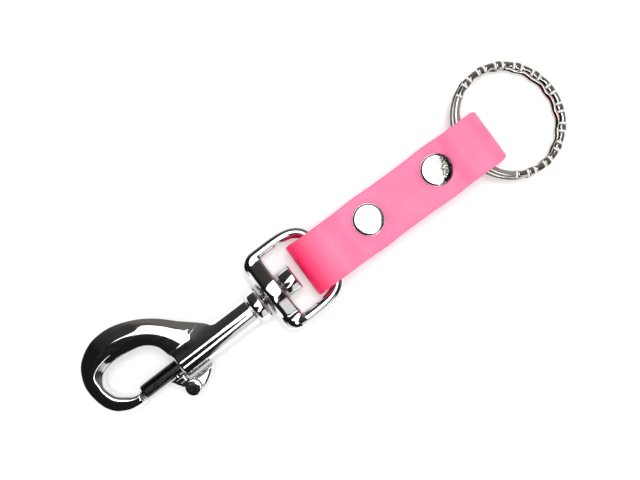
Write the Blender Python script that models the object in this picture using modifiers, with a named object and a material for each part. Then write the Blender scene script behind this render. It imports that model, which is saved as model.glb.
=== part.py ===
"""Strap key fob: a folded strap that holds a swivel bolt snap at one end and a split ring at the other.

The origin is on the strap's front face, midway between its two rivets. +X runs along the strap
towards the split ring, +Y across it, and +Z out of its front. Metres.
"""
from math import asin, cos, exp, hypot, pi, radians, sin

import bmesh
import bpy
from mathutils import Matrix

MM = 0.001

# Clearances and fineness
FIT_GAP = 0.3 * MM            # between pieces that seat on each other
RUN_GAP = 0.4 * MM            # between pieces that slide or turn
CUT_OVERRUN = 1.5 * MM        # how far a cutter passes the face it opens
MERGE_DISTANCE = 0.002 * MM
ROUND_STEPS = 24              # sides of a turned piece
RIVET_STEPS = 20

# Strap: one strip, folded back at both ends
STRAP_WIDTH = 15.9 * MM
STRAP_THICKNESS = 2.2 * MM
LAYER_GAP = 0.3 * MM          # between the front layer and the tails behind it
TAIL_SPLIT = 3.0 * MM         # open width between the two tails on the back
EYE_LAP = 0.95 * MM           # flat layers beyond the rivet's cap, at the eye's end
RING_LAP = 0.75 * MM          # and at the ring's end
LOOP_HEIGHT = 6.4 * MM        # inner height of both folded loops
EYE_LOOP_LENGTH = 5.2 * MM    # straight part of a loop, from the fold's centre
EYE_SPREAD = 7.0 * MM         # where a loop closes down to flat layers
RING_LOOP_LENGTH = 3.3 * MM
RING_SPREAD = 4.5 * MM
FRONT_RISE = 1.6 * MM         # how far the front bulges up over a loop
DENT_DEPTH = 0.15 * MM        # the layers are pressed in under the rivet caps
DENT_SLOPE = 0.7 * MM
EDGE_BULGE = 0.25 * MM        # the edges swell beside a rivet
EDGE_BULGE_LENGTH = 4.5 * MM
EYE_FOLD_FLARE = 0.25 * MM    # the strip is wider over the eye's fold
RING_FOLD_TAPER = 0.7 * MM    # and narrower at the tip of the ring's fold
FOLD_FLARE_LENGTH = 5.0 * MM
RING_TAPER_LENGTH = 2.4 * MM
STRAP_EDGE_ROUND = 0.35 * MM

# Double-cap rivets
RIVET_SPACING = 23.1 * MM
RIVET_SIDE_OFFSET = 0.8 * MM  # both rivets sit a little off the strap's centreline
CAP_DIAMETER = 9.4 * MM
CAP_HEIGHT = 2.3 * MM
CAP_SHEET = 0.38 * MM
CAP_SKIRT = 0.35 * MM         # height of the upright edge, above the lip
FLANGE_DIAMETER = 6.6 * MM
FLANGE_THICKNESS = 0.3 * MM
LIP_OVERLAP = 0.4 * MM        # how far the cap's lip reaches under the flange
CAP_PLAY = 0.25 * MM          # between the lip and the flange
POST_DIAMETER = 2.2 * MM
SOCKET_WALL = 0.35 * MM
SOCKET_DEPTH = 3.2 * MM       # how far the socket reaches into the strap

# Swivel eye
FOLD_TO_EYE_PIVOT = 6.5 * MM  # from the strap's fold to the swing axis
EYE_SIDE_OFFSET = 0.4 * MM    # how the hook lies at rest
HOOK_YAW = radians(1.3)
EYE_WIDTH = 25.7 * MM
EYE_WIRE = 3.3 * MM
EYE_TIP = 1.15 * MM           # how far the bow's middle passes the swing axis
EYE_BOW_EXPONENT = 3.9        # squareness of the bow
EYE_BAR_DIAMETER = 6.4 * MM
EYE_BAR_SETBACK = 16.4 * MM   # from the swing axis to the thick bar
EYE_BAR_END_ROUND = 2.4 * MM
EYE_BOSS_DIAMETER = 9.2 * MM
EYE_BOSS_ROUND = 0.7 * MM

# Swivel rivet
HEAD_DIAMETER = 8.5 * MM
HEAD_LENGTH = 4.2 * MM
HEAD_ROUND = 0.7 * MM
SHANK_DIAMETER = 4.2 * MM
SHANK_GRIP = 7.4 * MM         # how deep the shank sits in the barrel
COLLAR_PLAY = 0.6 * MM        # between the eye and the collar

# Hook body
COLLAR_DIAMETER = 10.4 * MM
COLLAR_LENGTH = 3.3 * MM
COLLAR_ROUND = 0.6 * MM
GROOVE_LENGTH = 0.4 * MM
GROOVE_DEPTH = 0.5 * MM
BARREL_DIAMETER = 8.9 * MM
BARREL_TAPER = 0.2 * MM       # the barrel is this much thinner at the collar
BARREL_LENGTH = 25.3 * MM
BARREL_CHAMFER = 0.5 * MM
BORE_DIAMETER = 4.8 * MM
BORE_END_WALL = 1.3 * MM
GATE_LENGTH = 13.1 * MM       # from the barrel's mouth to the nose
HOOK_SPAN = 25.2 * MM         # from the barrel's mouth to the far side of the hook
HOOK_RISE = 21.1 * MM         # from the barrel's axis to the top of the hook
HOOK_THICKNESS = 6.0 * MM
HOOK_EDGE_ROUND = 1.4 * MM
WEB_SEAT = 3.1 * MM           # height at which the web ends inside the barrel's wall
HOOK_CURVE_STEPS = 3

# Outline of the hook, from the web's rear foot round to the nose and back to the mouth.
# The first value is a share of the span, from the mouth, the second a share of the rise.
OUTER_OUTLINE_SHARES = (
    (-0.524, 0.17), (-0.456, 0.278), (-0.298, 0.481), (-0.139, 0.675), (0.02, 0.821), (0.179, 0.92),
    (0.337, 0.982), (0.496, 1.0), (0.655, 0.976), (0.813, 0.882), (0.917, 0.76), (0.988, 0.573),
    (1.0, 0.384), (0.965, 0.17), (0.89, 0.02), (0.79, -0.065), (0.70, -0.108), (0.60, -0.125),
)
INNER_OUTLINE_SHARES = (
    (0.60, 0.05), (0.69, 0.12), (0.76, 0.204), (0.794, 0.346), (0.77, 0.445), (0.698, 0.52),
    (0.544, 0.557), (0.333, 0.531), (0.183, 0.479), (0.075, 0.36), (0.034, 0.213),
)
NOSE_LOW_SHARE = -0.125
NOSE_HIGH_SHARE = 0.031

# Bolt, its thumb knob and its spring
BOLT_DIAMETER = 4.0 * MM
BOLT_TIP_ROUND = 0.7 * MM
BOLT_GUIDE = 5.0 * MM         # how deep the closed bolt sits in the barrel
BOLT_TRAVEL = 10.0 * MM
STEM_LENGTH = 4.4 * MM        # along the bolt
STEM_WIDTH = 2.0 * MM         # across the slot
STEM_SETOFF = 0.4 * MM        # from the barrel's mouth to the closed stem
SPIGOT_DIAMETER = 1.6 * MM
SPIGOT_DEPTH = 1.3 * MM
KNOB_LENGTH = 11.0 * MM
KNOB_DEPTH = 4.5 * MM         # from its inner face to its lowest point
KNOB_WIDTH = 5.0 * MM
KNOB_EDGE_ROUND = 1.0 * MM
KNOB_NOSE = 3.2 * MM          # how far the thumb pad starts ahead of the barrel's mouth
SPRING_WIRE = 0.5 * MM
SPRING_DIAMETER = 3.8 * MM
SPRING_TURNS = 8
SPRING_POINTS_PER_TURN = 9

# Thumb pad's outline: shares of its length, from its front, and of its depth
KNOB_OUTLINE_SHARES = (
    (0.0, 0.0), (0.10, 0.35), (0.17, 0.62), (0.27, 0.90), (0.42, 1.0), (0.58, 0.96),
    (0.78, 0.70), (0.94, 0.35), (1.0, 0.12), (0.99, 0.0),
)

# Split ring
RING_LENGTH = 31.8 * MM       # along the strap
RING_WIDTH = 33.7 * MM        # across the strap: the ring is sprung a little out of round
RING_WIRE_WIDTH = 2.1 * MM
RING_COIL_HEIGHT = 1.2 * MM
RING_COIL_GAP = 0.4 * MM
RING_COIL_SHIFT = 0.7 * MM    # the lower coil lies this much nearer the strap
RING_WIRE_ROUND = 0.3 * MM
RING_PIVOT_INSET = 1.1 * MM   # from the wire's middle to the swing axis, inside the fold
FOLD_TO_RING_PIVOT = 7.1 * MM
RING_BEND_START = radians(145)
RING_BEND_ARC = radians(30)
RING_END_GAP = radians(3)
DIMPLE_ARC = radians(21)
DIMPLE_HALF_REACH = radians(116)
DIMPLE_BULGE = 0.25 * MM
RING_STEP = radians(5.25)

# Worked-out places
FRONT_MID = -STRAP_THICKNESS / 2
LAYER_STEP = STRAP_THICKNESS + LAYER_GAP
LOOP_RADIUS = (LOOP_HEIGHT + STRAP_THICKNESS) / 2
AXIS_Z = FRONT_MID + FRONT_RISE - LOOP_RADIUS
TABLE_Z = AXIS_Z - LOOP_RADIUS - STRAP_THICKNESS / 2
CAP_REACH = RIVET_SPACING / 2 + CAP_DIAMETER / 2
FOLD_DEPTH = LOOP_RADIUS + STRAP_THICKNESS / 2
STRAP_EYE_REACH = CAP_REACH + EYE_LAP + EYE_SPREAD + EYE_LOOP_LENGTH + FOLD_DEPTH
STRAP_RING_REACH = CAP_REACH + RING_LAP + RING_SPREAD + RING_LOOP_LENGTH + FOLD_DEPTH
EYE_PIVOT_X = FOLD_TO_EYE_PIVOT - STRAP_EYE_REACH
RING_PIVOT_X = STRAP_RING_REACH - FOLD_TO_RING_PIVOT

# Places along the hook's axis, counted from the swing axis
BAR_X = -EYE_BAR_SETBACK
HEAD_FACE_X = BAR_X + EYE_BAR_DIAMETER / 2 + FIT_GAP
COLLAR_REAR_X = BAR_X - EYE_BAR_DIAMETER / 2 - COLLAR_PLAY
COLLAR_FRONT_X = COLLAR_REAR_X - COLLAR_LENGTH
BARREL_REAR_X = COLLAR_FRONT_X - GROOVE_LENGTH
MOUTH_X = BARREL_REAR_X - BARREL_LENGTH
NOSE_X = MOUTH_X - GATE_LENGTH
SHANK_HOLE_END_X = COLLAR_REAR_X - SHANK_GRIP - FIT_GAP
BORE_END_X = SHANK_HOLE_END_X - BORE_END_WALL
BOLT_TIP_X = NOSE_X + FIT_GAP
BOLT_REAR_X = MOUTH_X + BOLT_GUIDE
STEM_REAR_X = MOUTH_X - STEM_SETOFF
STEM_MIDDLE_X = STEM_REAR_X - STEM_LENGTH / 2
KNOB_FACE_Y = -(BARREL_DIAMETER / 2 + RUN_GAP)
SLOT_END_X = STEM_REAR_X + BOLT_TRAVEL + RUN_GAP

for old in list(bpy.data.objects):
    bpy.data.objects.remove(old, do_unlink=True)

scene_root = bpy.context.scene.collection
fob = bpy.data.collections.new("key_fob")
cutters = bpy.data.collections.new("cutters")
scene_root.children.link(fob)
scene_root.children.link(cutters)


def finish(name, color, roughness, metallic):
    """A plain Principled material."""
    material = bpy.data.materials.new(name)
    material.use_nodes = True
    shader = material.node_tree.nodes["Principled BSDF"]
    shader.inputs["Base Color"].default_value = (*color, 1.0)
    shader.inputs["Roughness"].default_value = roughness
    shader.inputs["Metallic"].default_value = metallic
    material.diffuse_color = (*color, 1.0)
    return material


strap_pink = finish("strap_pink", (0.93, 0.22, 0.40), 0.5, 0.0)
chrome = finish("chrome", (0.82, 0.82, 0.83), 0.08, 1.0)
bolt_chrome = finish("bolt_chrome", (0.42, 0.42, 0.43), 0.15, 1.0)
ring_nickel = finish("ring_nickel", (0.76, 0.75, 0.72), 0.15, 1.0)
rivet_nickel = finish("rivet_nickel", (0.85, 0.85, 0.86), 0.1, 1.0)
plain_steel = finish("plain_steel", (0.55, 0.55, 0.56), 0.35, 1.0)
spring_steel = finish("spring_steel", (0.42, 0.42, 0.44), 0.3, 1.0)


def frame(name, place, turn):
    """An empty that carries the pieces of one joint."""
    empty = bpy.data.objects.new(name, None)
    empty.location = place
    empty.rotation_euler = turn
    fob.objects.link(empty)
    return empty


def put(name, mesh, carrier=None, material=None):
    """An object on a carrier: a piece if it has a material, else a cutter or a joined shape."""
    obj = bpy.data.objects.new(name, mesh)
    obj.parent = carrier
    if material is None:
        cutters.objects.link(obj)
        obj.hide_render = True
        obj.display_type = 'WIRE'
    else:
        mesh.materials.clear()
        mesh.materials.append(material)
        fob.objects.link(obj)
        mesh.shade_smooth()
        mesh.set_sharp_from_angle(angle=radians(35))
    return obj


def evaluated_mesh(obj):
    """The mesh that the object's modifiers or curve settings make; the object itself goes."""
    bpy.context.view_layer.update()
    graph = bpy.context.evaluated_depsgraph_get()
    mesh = bpy.data.meshes.new_from_object(obj.evaluated_get(graph))
    bpy.data.objects.remove(obj, do_unlink=True)
    bm = bmesh.new()
    bm.from_mesh(mesh)
    bmesh.ops.remove_doubles(bm, verts=bm.verts, dist=MERGE_DISTANCE)
    bmesh.ops.recalc_face_normals(bm, faces=bm.faces)
    bm.to_mesh(mesh)
    bm.free()
    return mesh


def turned(profile, steps=ROUND_STEPS, axis='Z'):
    """A profile of (radius, height), top first, turned round Z and laid along the wanted axis."""
    mesh = bpy.data.meshes.new("profile")
    points = [(radius, 0.0, height) for radius, height in profile]
    mesh.from_pydata(points, [(i, i + 1) for i in range(len(points) - 1)], [])
    blank = bpy.data.objects.new("profile", mesh)
    scene_root.objects.link(blank)
    screw = blank.modifiers.new("Screw", 'SCREW')
    screw.steps = screw.render_steps = steps
    screw.use_merge_vertices = True
    screw.merge_threshold = MERGE_DISTANCE
    result = evaluated_mesh(blank)
    if axis == 'X':
        result.transform(Matrix.Rotation(pi / 2, 4, 'Y'))
    if axis == 'Y':
        result.transform(Matrix.Rotation(-pi / 2, 4, 'X'))
    return result


def rounded_corner(radius, height, fillet, from_top):
    """Three points of a quarter round on a turned edge, in the order the profile runs down."""
    turns = (0.0, 0.5, 1.0)
    if from_top:
        angles = [share * pi / 2 for share in turns]
        return [(radius - fillet + fillet * sin(a), height - fillet + fillet * cos(a)) for a in angles]
    angles = [share * pi / 2 for share in turns]
    return [(radius - fillet + fillet * cos(a), height + fillet - fillet * sin(a)) for a in angles]


def tube(points, diameter, resolution=2):
    """A round wire along the points, as a closed mesh."""
    curve = bpy.data.curves.new("wire", 'CURVE')
    curve.dimensions = '3D'
    curve.bevel_depth = diameter / 2
    curve.bevel_resolution = resolution
    curve.use_fill_caps = True
    spline = curve.splines.new('POLY')
    spline.points.add(len(points) - 1)
    for point, place in zip(spline.points, points):
        point.co = (*place, 1.0)
    wire = bpy.data.objects.new("wire", curve)
    scene_root.objects.link(wire)
    return evaluated_mesh(wire)


def plate(outline, thickness, smooth_steps=1, sharp=()):
    """A flat outline in XY, extruded both ways from z 0, with its caps as single faces."""
    curve = bpy.data.curves.new("outline", 'CURVE')
    curve.dimensions = '2D'
    curve.fill_mode = 'BOTH'
    curve.extrude = thickness / 2
    curve.resolution_u = smooth_steps
    spline = curve.splines.new('BEZIER')
    spline.bezier_points.add(len(outline) - 1)
    for index, (point, (x, y)) in enumerate(zip(spline.bezier_points, outline)):
        point.co = (x, y, 0.0)
        kind = 'VECTOR' if index in sharp or smooth_steps == 1 else 'AUTO'
        point.handle_left_type = kind
        point.handle_right_type = kind
    spline.use_cyclic_u = True
    flat = bpy.data.objects.new("outline", curve)
    scene_root.objects.link(flat)
    mesh = evaluated_mesh(flat)
    bm = bmesh.new()
    bm.from_mesh(mesh)
    bmesh.ops.dissolve_limit(bm, angle_limit=radians(1), verts=bm.verts, edges=bm.edges)
    bm.to_mesh(mesh)
    bm.free()
    return mesh


def box(low, high):
    """A block between two corners."""
    bm = bmesh.new()
    bmesh.ops.create_cube(bm, size=1.0)
    size = [b - a for a, b in zip(low, high)]
    middle = [(a + b) / 2 for a, b in zip(low, high)]
    bmesh.ops.transform(bm, matrix=Matrix.Translation(middle) @ Matrix.Diagonal((*size, 1.0)), verts=bm.verts)
    mesh = bpy.data.meshes.new("block")
    bm.to_mesh(mesh)
    bm.free()
    return mesh


def rod(radius, start, end, axis='X', steps=ROUND_STEPS):
    """A plain cylinder along an axis, from start to end."""
    return turned([(0.0, end), (radius, end), (radius, start), (0.0, start)], steps, axis)


def join(obj, other, operation):
    """Adds or takes away another object's shape."""
    change = obj.modifiers.new(operation.title(), 'BOOLEAN')
    change.operation = operation
    change.object = other
    change.solver = 'EXACT'


def round_edges(obj, width, segments=2):
    """Rounds the sharp edges."""
    bevel = obj.modifiers.new("Bevel", 'BEVEL')
    bevel.width = width
    bevel.segments = segments
    bevel.limit_method = 'ANGLE'
    bevel.angle_limit = radians(50)


def smooth_share(value):
    """Eases a share from 0 to 1."""
    value = min(max(value, 0.0), 1.0)
    return value * value * (3.0 - 2.0 * value)


def strap_half_width(x):
    """Half the strip's width where it lies at x."""
    width = STRAP_WIDTH / 2
    for side in (-1, 1):
        offset = (x - side * RIVET_SPACING / 2) / EDGE_BULGE_LENGTH
        width += EDGE_BULGE * exp(-offset * offset)
    width += EYE_FOLD_FLARE * smooth_share(1.0 - (x + STRAP_EYE_REACH) / FOLD_FLARE_LENGTH)
    tip_share = smooth_share(1.0 - (STRAP_RING_REACH - x) / RING_TAPER_LENGTH)
    return width - RING_FOLD_TAPER * tip_share


def half_strap_path(reach, loop_length, spread_length):
    """The strip's middle line, from the origin over the fold at this reach and back to the tail."""
    fold_x = reach - STRAP_THICKNESS / 2 - LOOP_RADIUS
    flat_end = fold_x - loop_length - spread_length
    dent_start = RIVET_SPACING / 2 - CAP_DIAMETER / 2 - 2 * DENT_SLOPE
    stations = [dent_start, dent_start + DENT_SLOPE, RIVET_SPACING / 2]
    stations += [flat_end + spread_length * step / 6 for step in range(7)]
    stations.append(fold_x - loop_length / 2)
    stations.sort()
    front, back = [], []
    for x in stations:
        spread = smooth_share((x - flat_end) / spread_length)
        dent = DENT_DEPTH * smooth_share((x - dent_start) / DENT_SLOPE)
        height = FRONT_MID - dent * (1.0 - spread)
        front.append((x, height + spread * (AXIS_Z + LOOP_RADIUS - height)))
        low = height - LAYER_STEP
        back.append((x, low + spread * (AXIS_Z - LOOP_RADIUS - low)))
    fold = []
    for step in range(11):
        angle = pi / 2 - pi * step / 10
        fold.append((fold_x + LOOP_RADIUS * cos(angle), AXIS_Z + LOOP_RADIUS * sin(angle)))
    tail_end = (TAIL_SPLIT / 2, FRONT_MID - LAYER_STEP)
    return front + fold + back[::-1] + [tail_end]


def make_strap():
    """One strip from tail to tail, with a hole through both layers at each rivet."""
    ring_half = half_strap_path(STRAP_RING_REACH, RING_LOOP_LENGTH, RING_SPREAD)
    eye_half = [(-x, z) for x, z in half_strap_path(STRAP_EYE_REACH, EYE_LOOP_LENGTH, EYE_SPREAD)]
    path = eye_half[::-1] + ring_half
    bm = bmesh.new()
    rows = []
    for x, z in path:
        half = strap_half_width(x)
        rows.append([bm.verts.new((x, side * half, z)) for side in (-1, 1)])
    for near, far in zip(rows, rows[1:]):
        bm.faces.new((near[0], far[0], far[1], near[1]))
    mesh = bpy.data.meshes.new("strap")
    bm.to_mesh(mesh)
    bm.free()
    ribbon = bpy.data.objects.new("ribbon", mesh)
    scene_root.objects.link(ribbon)
    wall = ribbon.modifiers.new("Solidify", 'SOLIDIFY')
    wall.thickness = STRAP_THICKNESS
    wall.offset = 0.0
    wall.use_even_offset = True
    round_edges(ribbon, STRAP_EDGE_ROUND, 1)
    strap = put("strap", evaluated_mesh(ribbon), None, strap_pink)
    depth = 2 * LAYER_STEP + CUT_OVERRUN
    for side in (-1, 1):
        hole = put("post_hole", rod(STRAP_HOLE_RADIUS, -depth, CUT_OVERRUN, 'Z', RIVET_STEPS))
        hole.location = (side * RIVET_SPACING / 2, RIVET_SIDE_OFFSET, 0.0)
        join(strap, hole, 'DIFFERENCE')


POST_RADIUS = POST_DIAMETER / 2
SOCKET_BORE_RADIUS = POST_RADIUS + FIT_GAP
SOCKET_RADIUS = SOCKET_BORE_RADIUS + SOCKET_WALL
STRAP_HOLE_RADIUS = SOCKET_RADIUS + FIT_GAP
FLANGE_LOW = FIT_GAP + CAP_SHEET + CAP_PLAY
FLANGE_HIGH = FLANGE_LOW + FLANGE_THICKNESS
STACK_DEPTH = STRAP_THICKNESS + LAYER_STEP


def cap_profile():
    """Domed sheet cap with its lip turned in under the flange; height 0 is the strap's face."""
    outer = CAP_DIAMETER / 2
    inner = outer - CAP_SHEET
    lip = FLANGE_DIAMETER / 2 - LIP_OVERLAP
    skirt = FIT_GAP + CAP_SKIRT
    dome = [(outer * sin(a), skirt + (CAP_HEIGHT - skirt) * cos(a)) for a in
            (pi / 2 * step / 5 for step in range(6))]
    low_dome = FIT_GAP + CAP_SHEET
    inside = [(inner * sin(a), low_dome + (CAP_HEIGHT - CAP_SHEET - low_dome) * cos(a)) for a in
              (pi / 2 * step / 4 for step in range(5))]
    foot = [(outer - CAP_SHEET / 2, FIT_GAP), (lip, FIT_GAP), (lip, low_dome)]
    return dome + foot + inside[::-1]


def make_rivet(number, x):
    """Two sheet caps, a flanged post from the front and a flanged socket from the back."""
    front = frame("rivet_%d_front" % number, (x, RIVET_SIDE_OFFSET, -DENT_DEPTH), (0.0, 0.0, 0.0))
    back = frame("rivet_%d_back" % number, (x, RIVET_SIDE_OFFSET, -DENT_DEPTH - STACK_DEPTH), (pi, 0.0, 0.0))
    flange = FLANGE_DIAMETER / 2
    post_end = -(STACK_DEPTH + FLANGE_LOW - FIT_GAP)
    post = [(0.0, FLANGE_HIGH), (flange, FLANGE_HIGH), (flange, FLANGE_LOW), (POST_RADIUS, FLANGE_LOW),
            (POST_RADIUS, post_end), (0.0, post_end)]
    socket = [(0.0, FLANGE_HIGH), (flange, FLANGE_HIGH), (flange, FLANGE_LOW), (SOCKET_RADIUS, FLANGE_LOW),
              (SOCKET_RADIUS, -SOCKET_DEPTH), (SOCKET_BORE_RADIUS, -SOCKET_DEPTH),
              (SOCKET_BORE_RADIUS, FLANGE_LOW), (0.0, FLANGE_LOW)]
    put("rivet_%d_front_cap" % number, turned(cap_profile(), RIVET_STEPS), front, rivet_nickel)
    put("rivet_%d_post" % number, turned(post, RIVET_STEPS), front, plain_steel)
    put("rivet_%d_back_cap" % number, turned(cap_profile(), RIVET_STEPS), back, rivet_nickel)
    put("rivet_%d_socket" % number, turned(socket, RIVET_STEPS), back, plain_steel)


def make_eye(hook_frame):
    """A thick pierced bar with a boss, and a bow of round wire that closes the eye."""
    bar_radius = EYE_BAR_DIAMETER / 2
    half = EYE_WIDTH / 2
    bar = rounded_corner(bar_radius, half, EYE_BAR_END_ROUND, True)
    bar += rounded_corner(bar_radius, -half, EYE_BAR_END_ROUND, False)
    eye_mesh = turned([(0.0, half)] + bar + [(0.0, -half)], ROUND_STEPS, 'Y')
    eye_mesh.transform(Matrix.Translation((BAR_X, 0.0, 0.0)))
    eye = put("swivel_eye", eye_mesh, hook_frame, chrome)

    boss_radius = EYE_BOSS_DIAMETER / 2
    high, low = BAR_X + bar_radius, BAR_X - bar_radius
    boss_line = rounded_corner(boss_radius, high, EYE_BOSS_ROUND, True)
    boss_line += rounded_corner(boss_radius, low, EYE_BOSS_ROUND, False)
    boss = put("eye_boss", turned([(0.0, high)] + boss_line + [(0.0, low)], ROUND_STEPS, 'X'), hook_frame)
    join(eye, boss, 'UNION')

    bow_half = half - EYE_WIRE / 2
    bow_start = high
    bow_length = EYE_TIP - bow_start
    bow = [(BAR_X, -bow_half, 0.0)]
    for step in range(21):
        angle = -pi / 2 + pi * step / 20
        power = 2.0 / EYE_BOW_EXPONENT
        side = -1 if angle < 0 else 1
        across = side * bow_half * abs(sin(angle)) ** power
        along = bow_start + bow_length * max(cos(angle), 0.0) ** power
        bow.append((along, across, 0.0))
    bow.append((BAR_X, bow_half, 0.0))
    bow_wire = put("eye_bow", tube(bow, EYE_WIRE), hook_frame)
    join(eye, bow_wire, 'UNION')

    hole = put("eye_hole", rod(SHANK_DIAMETER / 2 + RUN_GAP, low - CUT_OVERRUN, high + CUT_OVERRUN), hook_frame)
    join(eye, hole, 'DIFFERENCE')


def make_swivel_rivet(hook_frame):
    """The headed shank: its head turns inside the eye and its shank is pressed into the barrel."""
    head = HEAD_DIAMETER / 2
    shank = SHANK_DIAMETER / 2
    head_end = HEAD_FACE_X + HEAD_LENGTH
    profile = [(0.0, head_end)]
    profile += rounded_corner(head, head_end, HEAD_ROUND, True)
    profile += [(head, HEAD_FACE_X), (shank, HEAD_FACE_X)]
    shank_end = COLLAR_REAR_X - SHANK_GRIP
    profile += [(shank, shank_end), (0.0, shank_end)]
    put("swivel_rivet", turned(profile, ROUND_STEPS, 'X'), hook_frame, chrome)


def make_hook_body(hook_frame):
    """The casting: collar, barrel, web and hook, bored for the bolt and for the swivel's shank."""
    barrel = BARREL_DIAMETER / 2
    thin = barrel - BARREL_TAPER
    groove = thin - GROOVE_DEPTH
    collar = COLLAR_DIAMETER / 2
    profile = [(0.0, COLLAR_REAR_X)]
    profile += rounded_corner(collar, COLLAR_REAR_X, COLLAR_ROUND, True)
    profile += rounded_corner(collar, COLLAR_FRONT_X, COLLAR_ROUND, False)
    profile += [(groove, COLLAR_FRONT_X), (groove, BARREL_REAR_X), (thin, BARREL_REAR_X)]
    profile += [(barrel, MOUTH_X + BARREL_CHAMFER), (barrel - BARREL_CHAMFER, MOUTH_X), (0.0, MOUTH_X)]
    body = put("hook_body", turned(profile, ROUND_STEPS, 'X'), hook_frame, chrome)

    def spot(span_share, rise_share):
        return MOUTH_X - span_share * HOOK_SPAN, rise_share * HOOK_RISE

    outline = [spot(*shares) for shares in OUTER_OUTLINE_SHARES]
    outline.append((NOSE_X, NOSE_LOW_SHARE * HOOK_RISE))
    outline.append((NOSE_X, NOSE_HIGH_SHARE * HOOK_RISE))
    outline += [spot(*shares) for shares in INNER_OUTLINE_SHARES]
    outline.append((MOUTH_X, WEB_SEAT))
    nose = len(OUTER_OUTLINE_SHARES)
    corners = (0, nose, nose + 1, len(outline) - 1)
    hook = put("hook_plate", plate(outline, HOOK_THICKNESS, HOOK_CURVE_STEPS, corners), hook_frame)
    round_edges(hook, HOOK_EDGE_ROUND)
    join(body, hook, 'UNION')

    bore = put("bolt_bore", rod(BORE_DIAMETER / 2, MOUTH_X - CUT_OVERRUN, BORE_END_X), hook_frame)
    join(body, bore, 'DIFFERENCE')
    shank_radius = SHANK_DIAMETER / 2 + FIT_GAP
    shank_hole = rod(shank_radius, SHANK_HOLE_END_X, COLLAR_REAR_X + CUT_OVERRUN)
    join(body, put("shank_hole", shank_hole, hook_frame), 'DIFFERENCE')
    slot_half = STEM_WIDTH / 2 + RUN_GAP
    slot = box((MOUTH_X - CUT_OVERRUN, -barrel - CUT_OVERRUN, -slot_half), (SLOT_END_X, 0.0, slot_half))
    join(body, put("knob_slot", slot, hook_frame), 'DIFFERENCE')


def make_bolt(hook_frame):
    """The round gate pin, drilled for the knob's spigot."""
    radius = BOLT_DIAMETER / 2
    profile = [(0.0, BOLT_REAR_X), (radius, BOLT_REAR_X)]
    profile += rounded_corner(radius, BOLT_TIP_X, BOLT_TIP_ROUND, False) + [(0.0, BOLT_TIP_X)]
    bolt = put("bolt", turned(profile, ROUND_STEPS, 'X'), hook_frame, bolt_chrome)
    depth = -radius + SPIGOT_DEPTH + FIT_GAP
    drill = rod(SPIGOT_DIAMETER / 2 + FIT_GAP, -radius - CUT_OVERRUN, depth, 'Y', RIVET_STEPS)
    drill.transform(Matrix.Translation((STEM_MIDDLE_X, 0.0, 0.0)))
    join(bolt, put("spigot_hole", drill, hook_frame), 'DIFFERENCE')


def make_thumb_knob(hook_frame):
    """The thumb pad beside the barrel, with a thin stem through the slot and a spigot in the bolt."""
    front_x = MOUTH_X - KNOB_NOSE
    outline = []
    for length_share, depth_share in KNOB_OUTLINE_SHARES:
        outline.append((front_x + length_share * KNOB_LENGTH, KNOB_FACE_Y - depth_share * KNOB_DEPTH))
    last = len(outline) - 1
    knob = put("thumb_knob", plate(outline, KNOB_WIDTH, 2, (0, last)), hook_frame, chrome)
    round_edges(knob, KNOB_EDGE_ROUND)
    bolt_side = -BOLT_DIAMETER / 2 - FIT_GAP
    sunk = KNOB_FACE_Y - KNOB_EDGE_ROUND
    stem_front = STEM_REAR_X - STEM_LENGTH
    stem_outline = [(stem_front, bolt_side), (front_x + KNOB_EDGE_ROUND, sunk), (STEM_REAR_X, sunk),
                    (STEM_REAR_X, bolt_side)]
    stem = put("knob_stem", plate(stem_outline, STEM_WIDTH), hook_frame)
    join(knob, stem, 'UNION')
    spigot = rod(SPIGOT_DIAMETER / 2, bolt_side - FIT_GAP, -BOLT_DIAMETER / 2 + SPIGOT_DEPTH, 'Y', RIVET_STEPS)
    spigot.transform(Matrix.Translation((STEM_MIDDLE_X, 0.0, 0.0)))
    join(knob, put("knob_spigot", spigot, hook_frame), 'UNION')


def make_spring(hook_frame):
    """The compression spring between the bolt's end and the bore's end."""
    start = BOLT_REAR_X + FIT_GAP + SPRING_WIRE / 2
    end = BORE_END_X - FIT_GAP - SPRING_WIRE / 2
    radius = (SPRING_DIAMETER - SPRING_WIRE) / 2
    count = SPRING_TURNS * SPRING_POINTS_PER_TURN
    points = []
    for step in range(count + 1):
        angle = 2 * pi * step / SPRING_POINTS_PER_TURN
        points.append((start + (end - start) * step / count, radius * cos(angle), radius * sin(angle)))
    put("bolt_spring", tube(points, SPRING_WIRE, 1), hook_frame, spring_steel)


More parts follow.
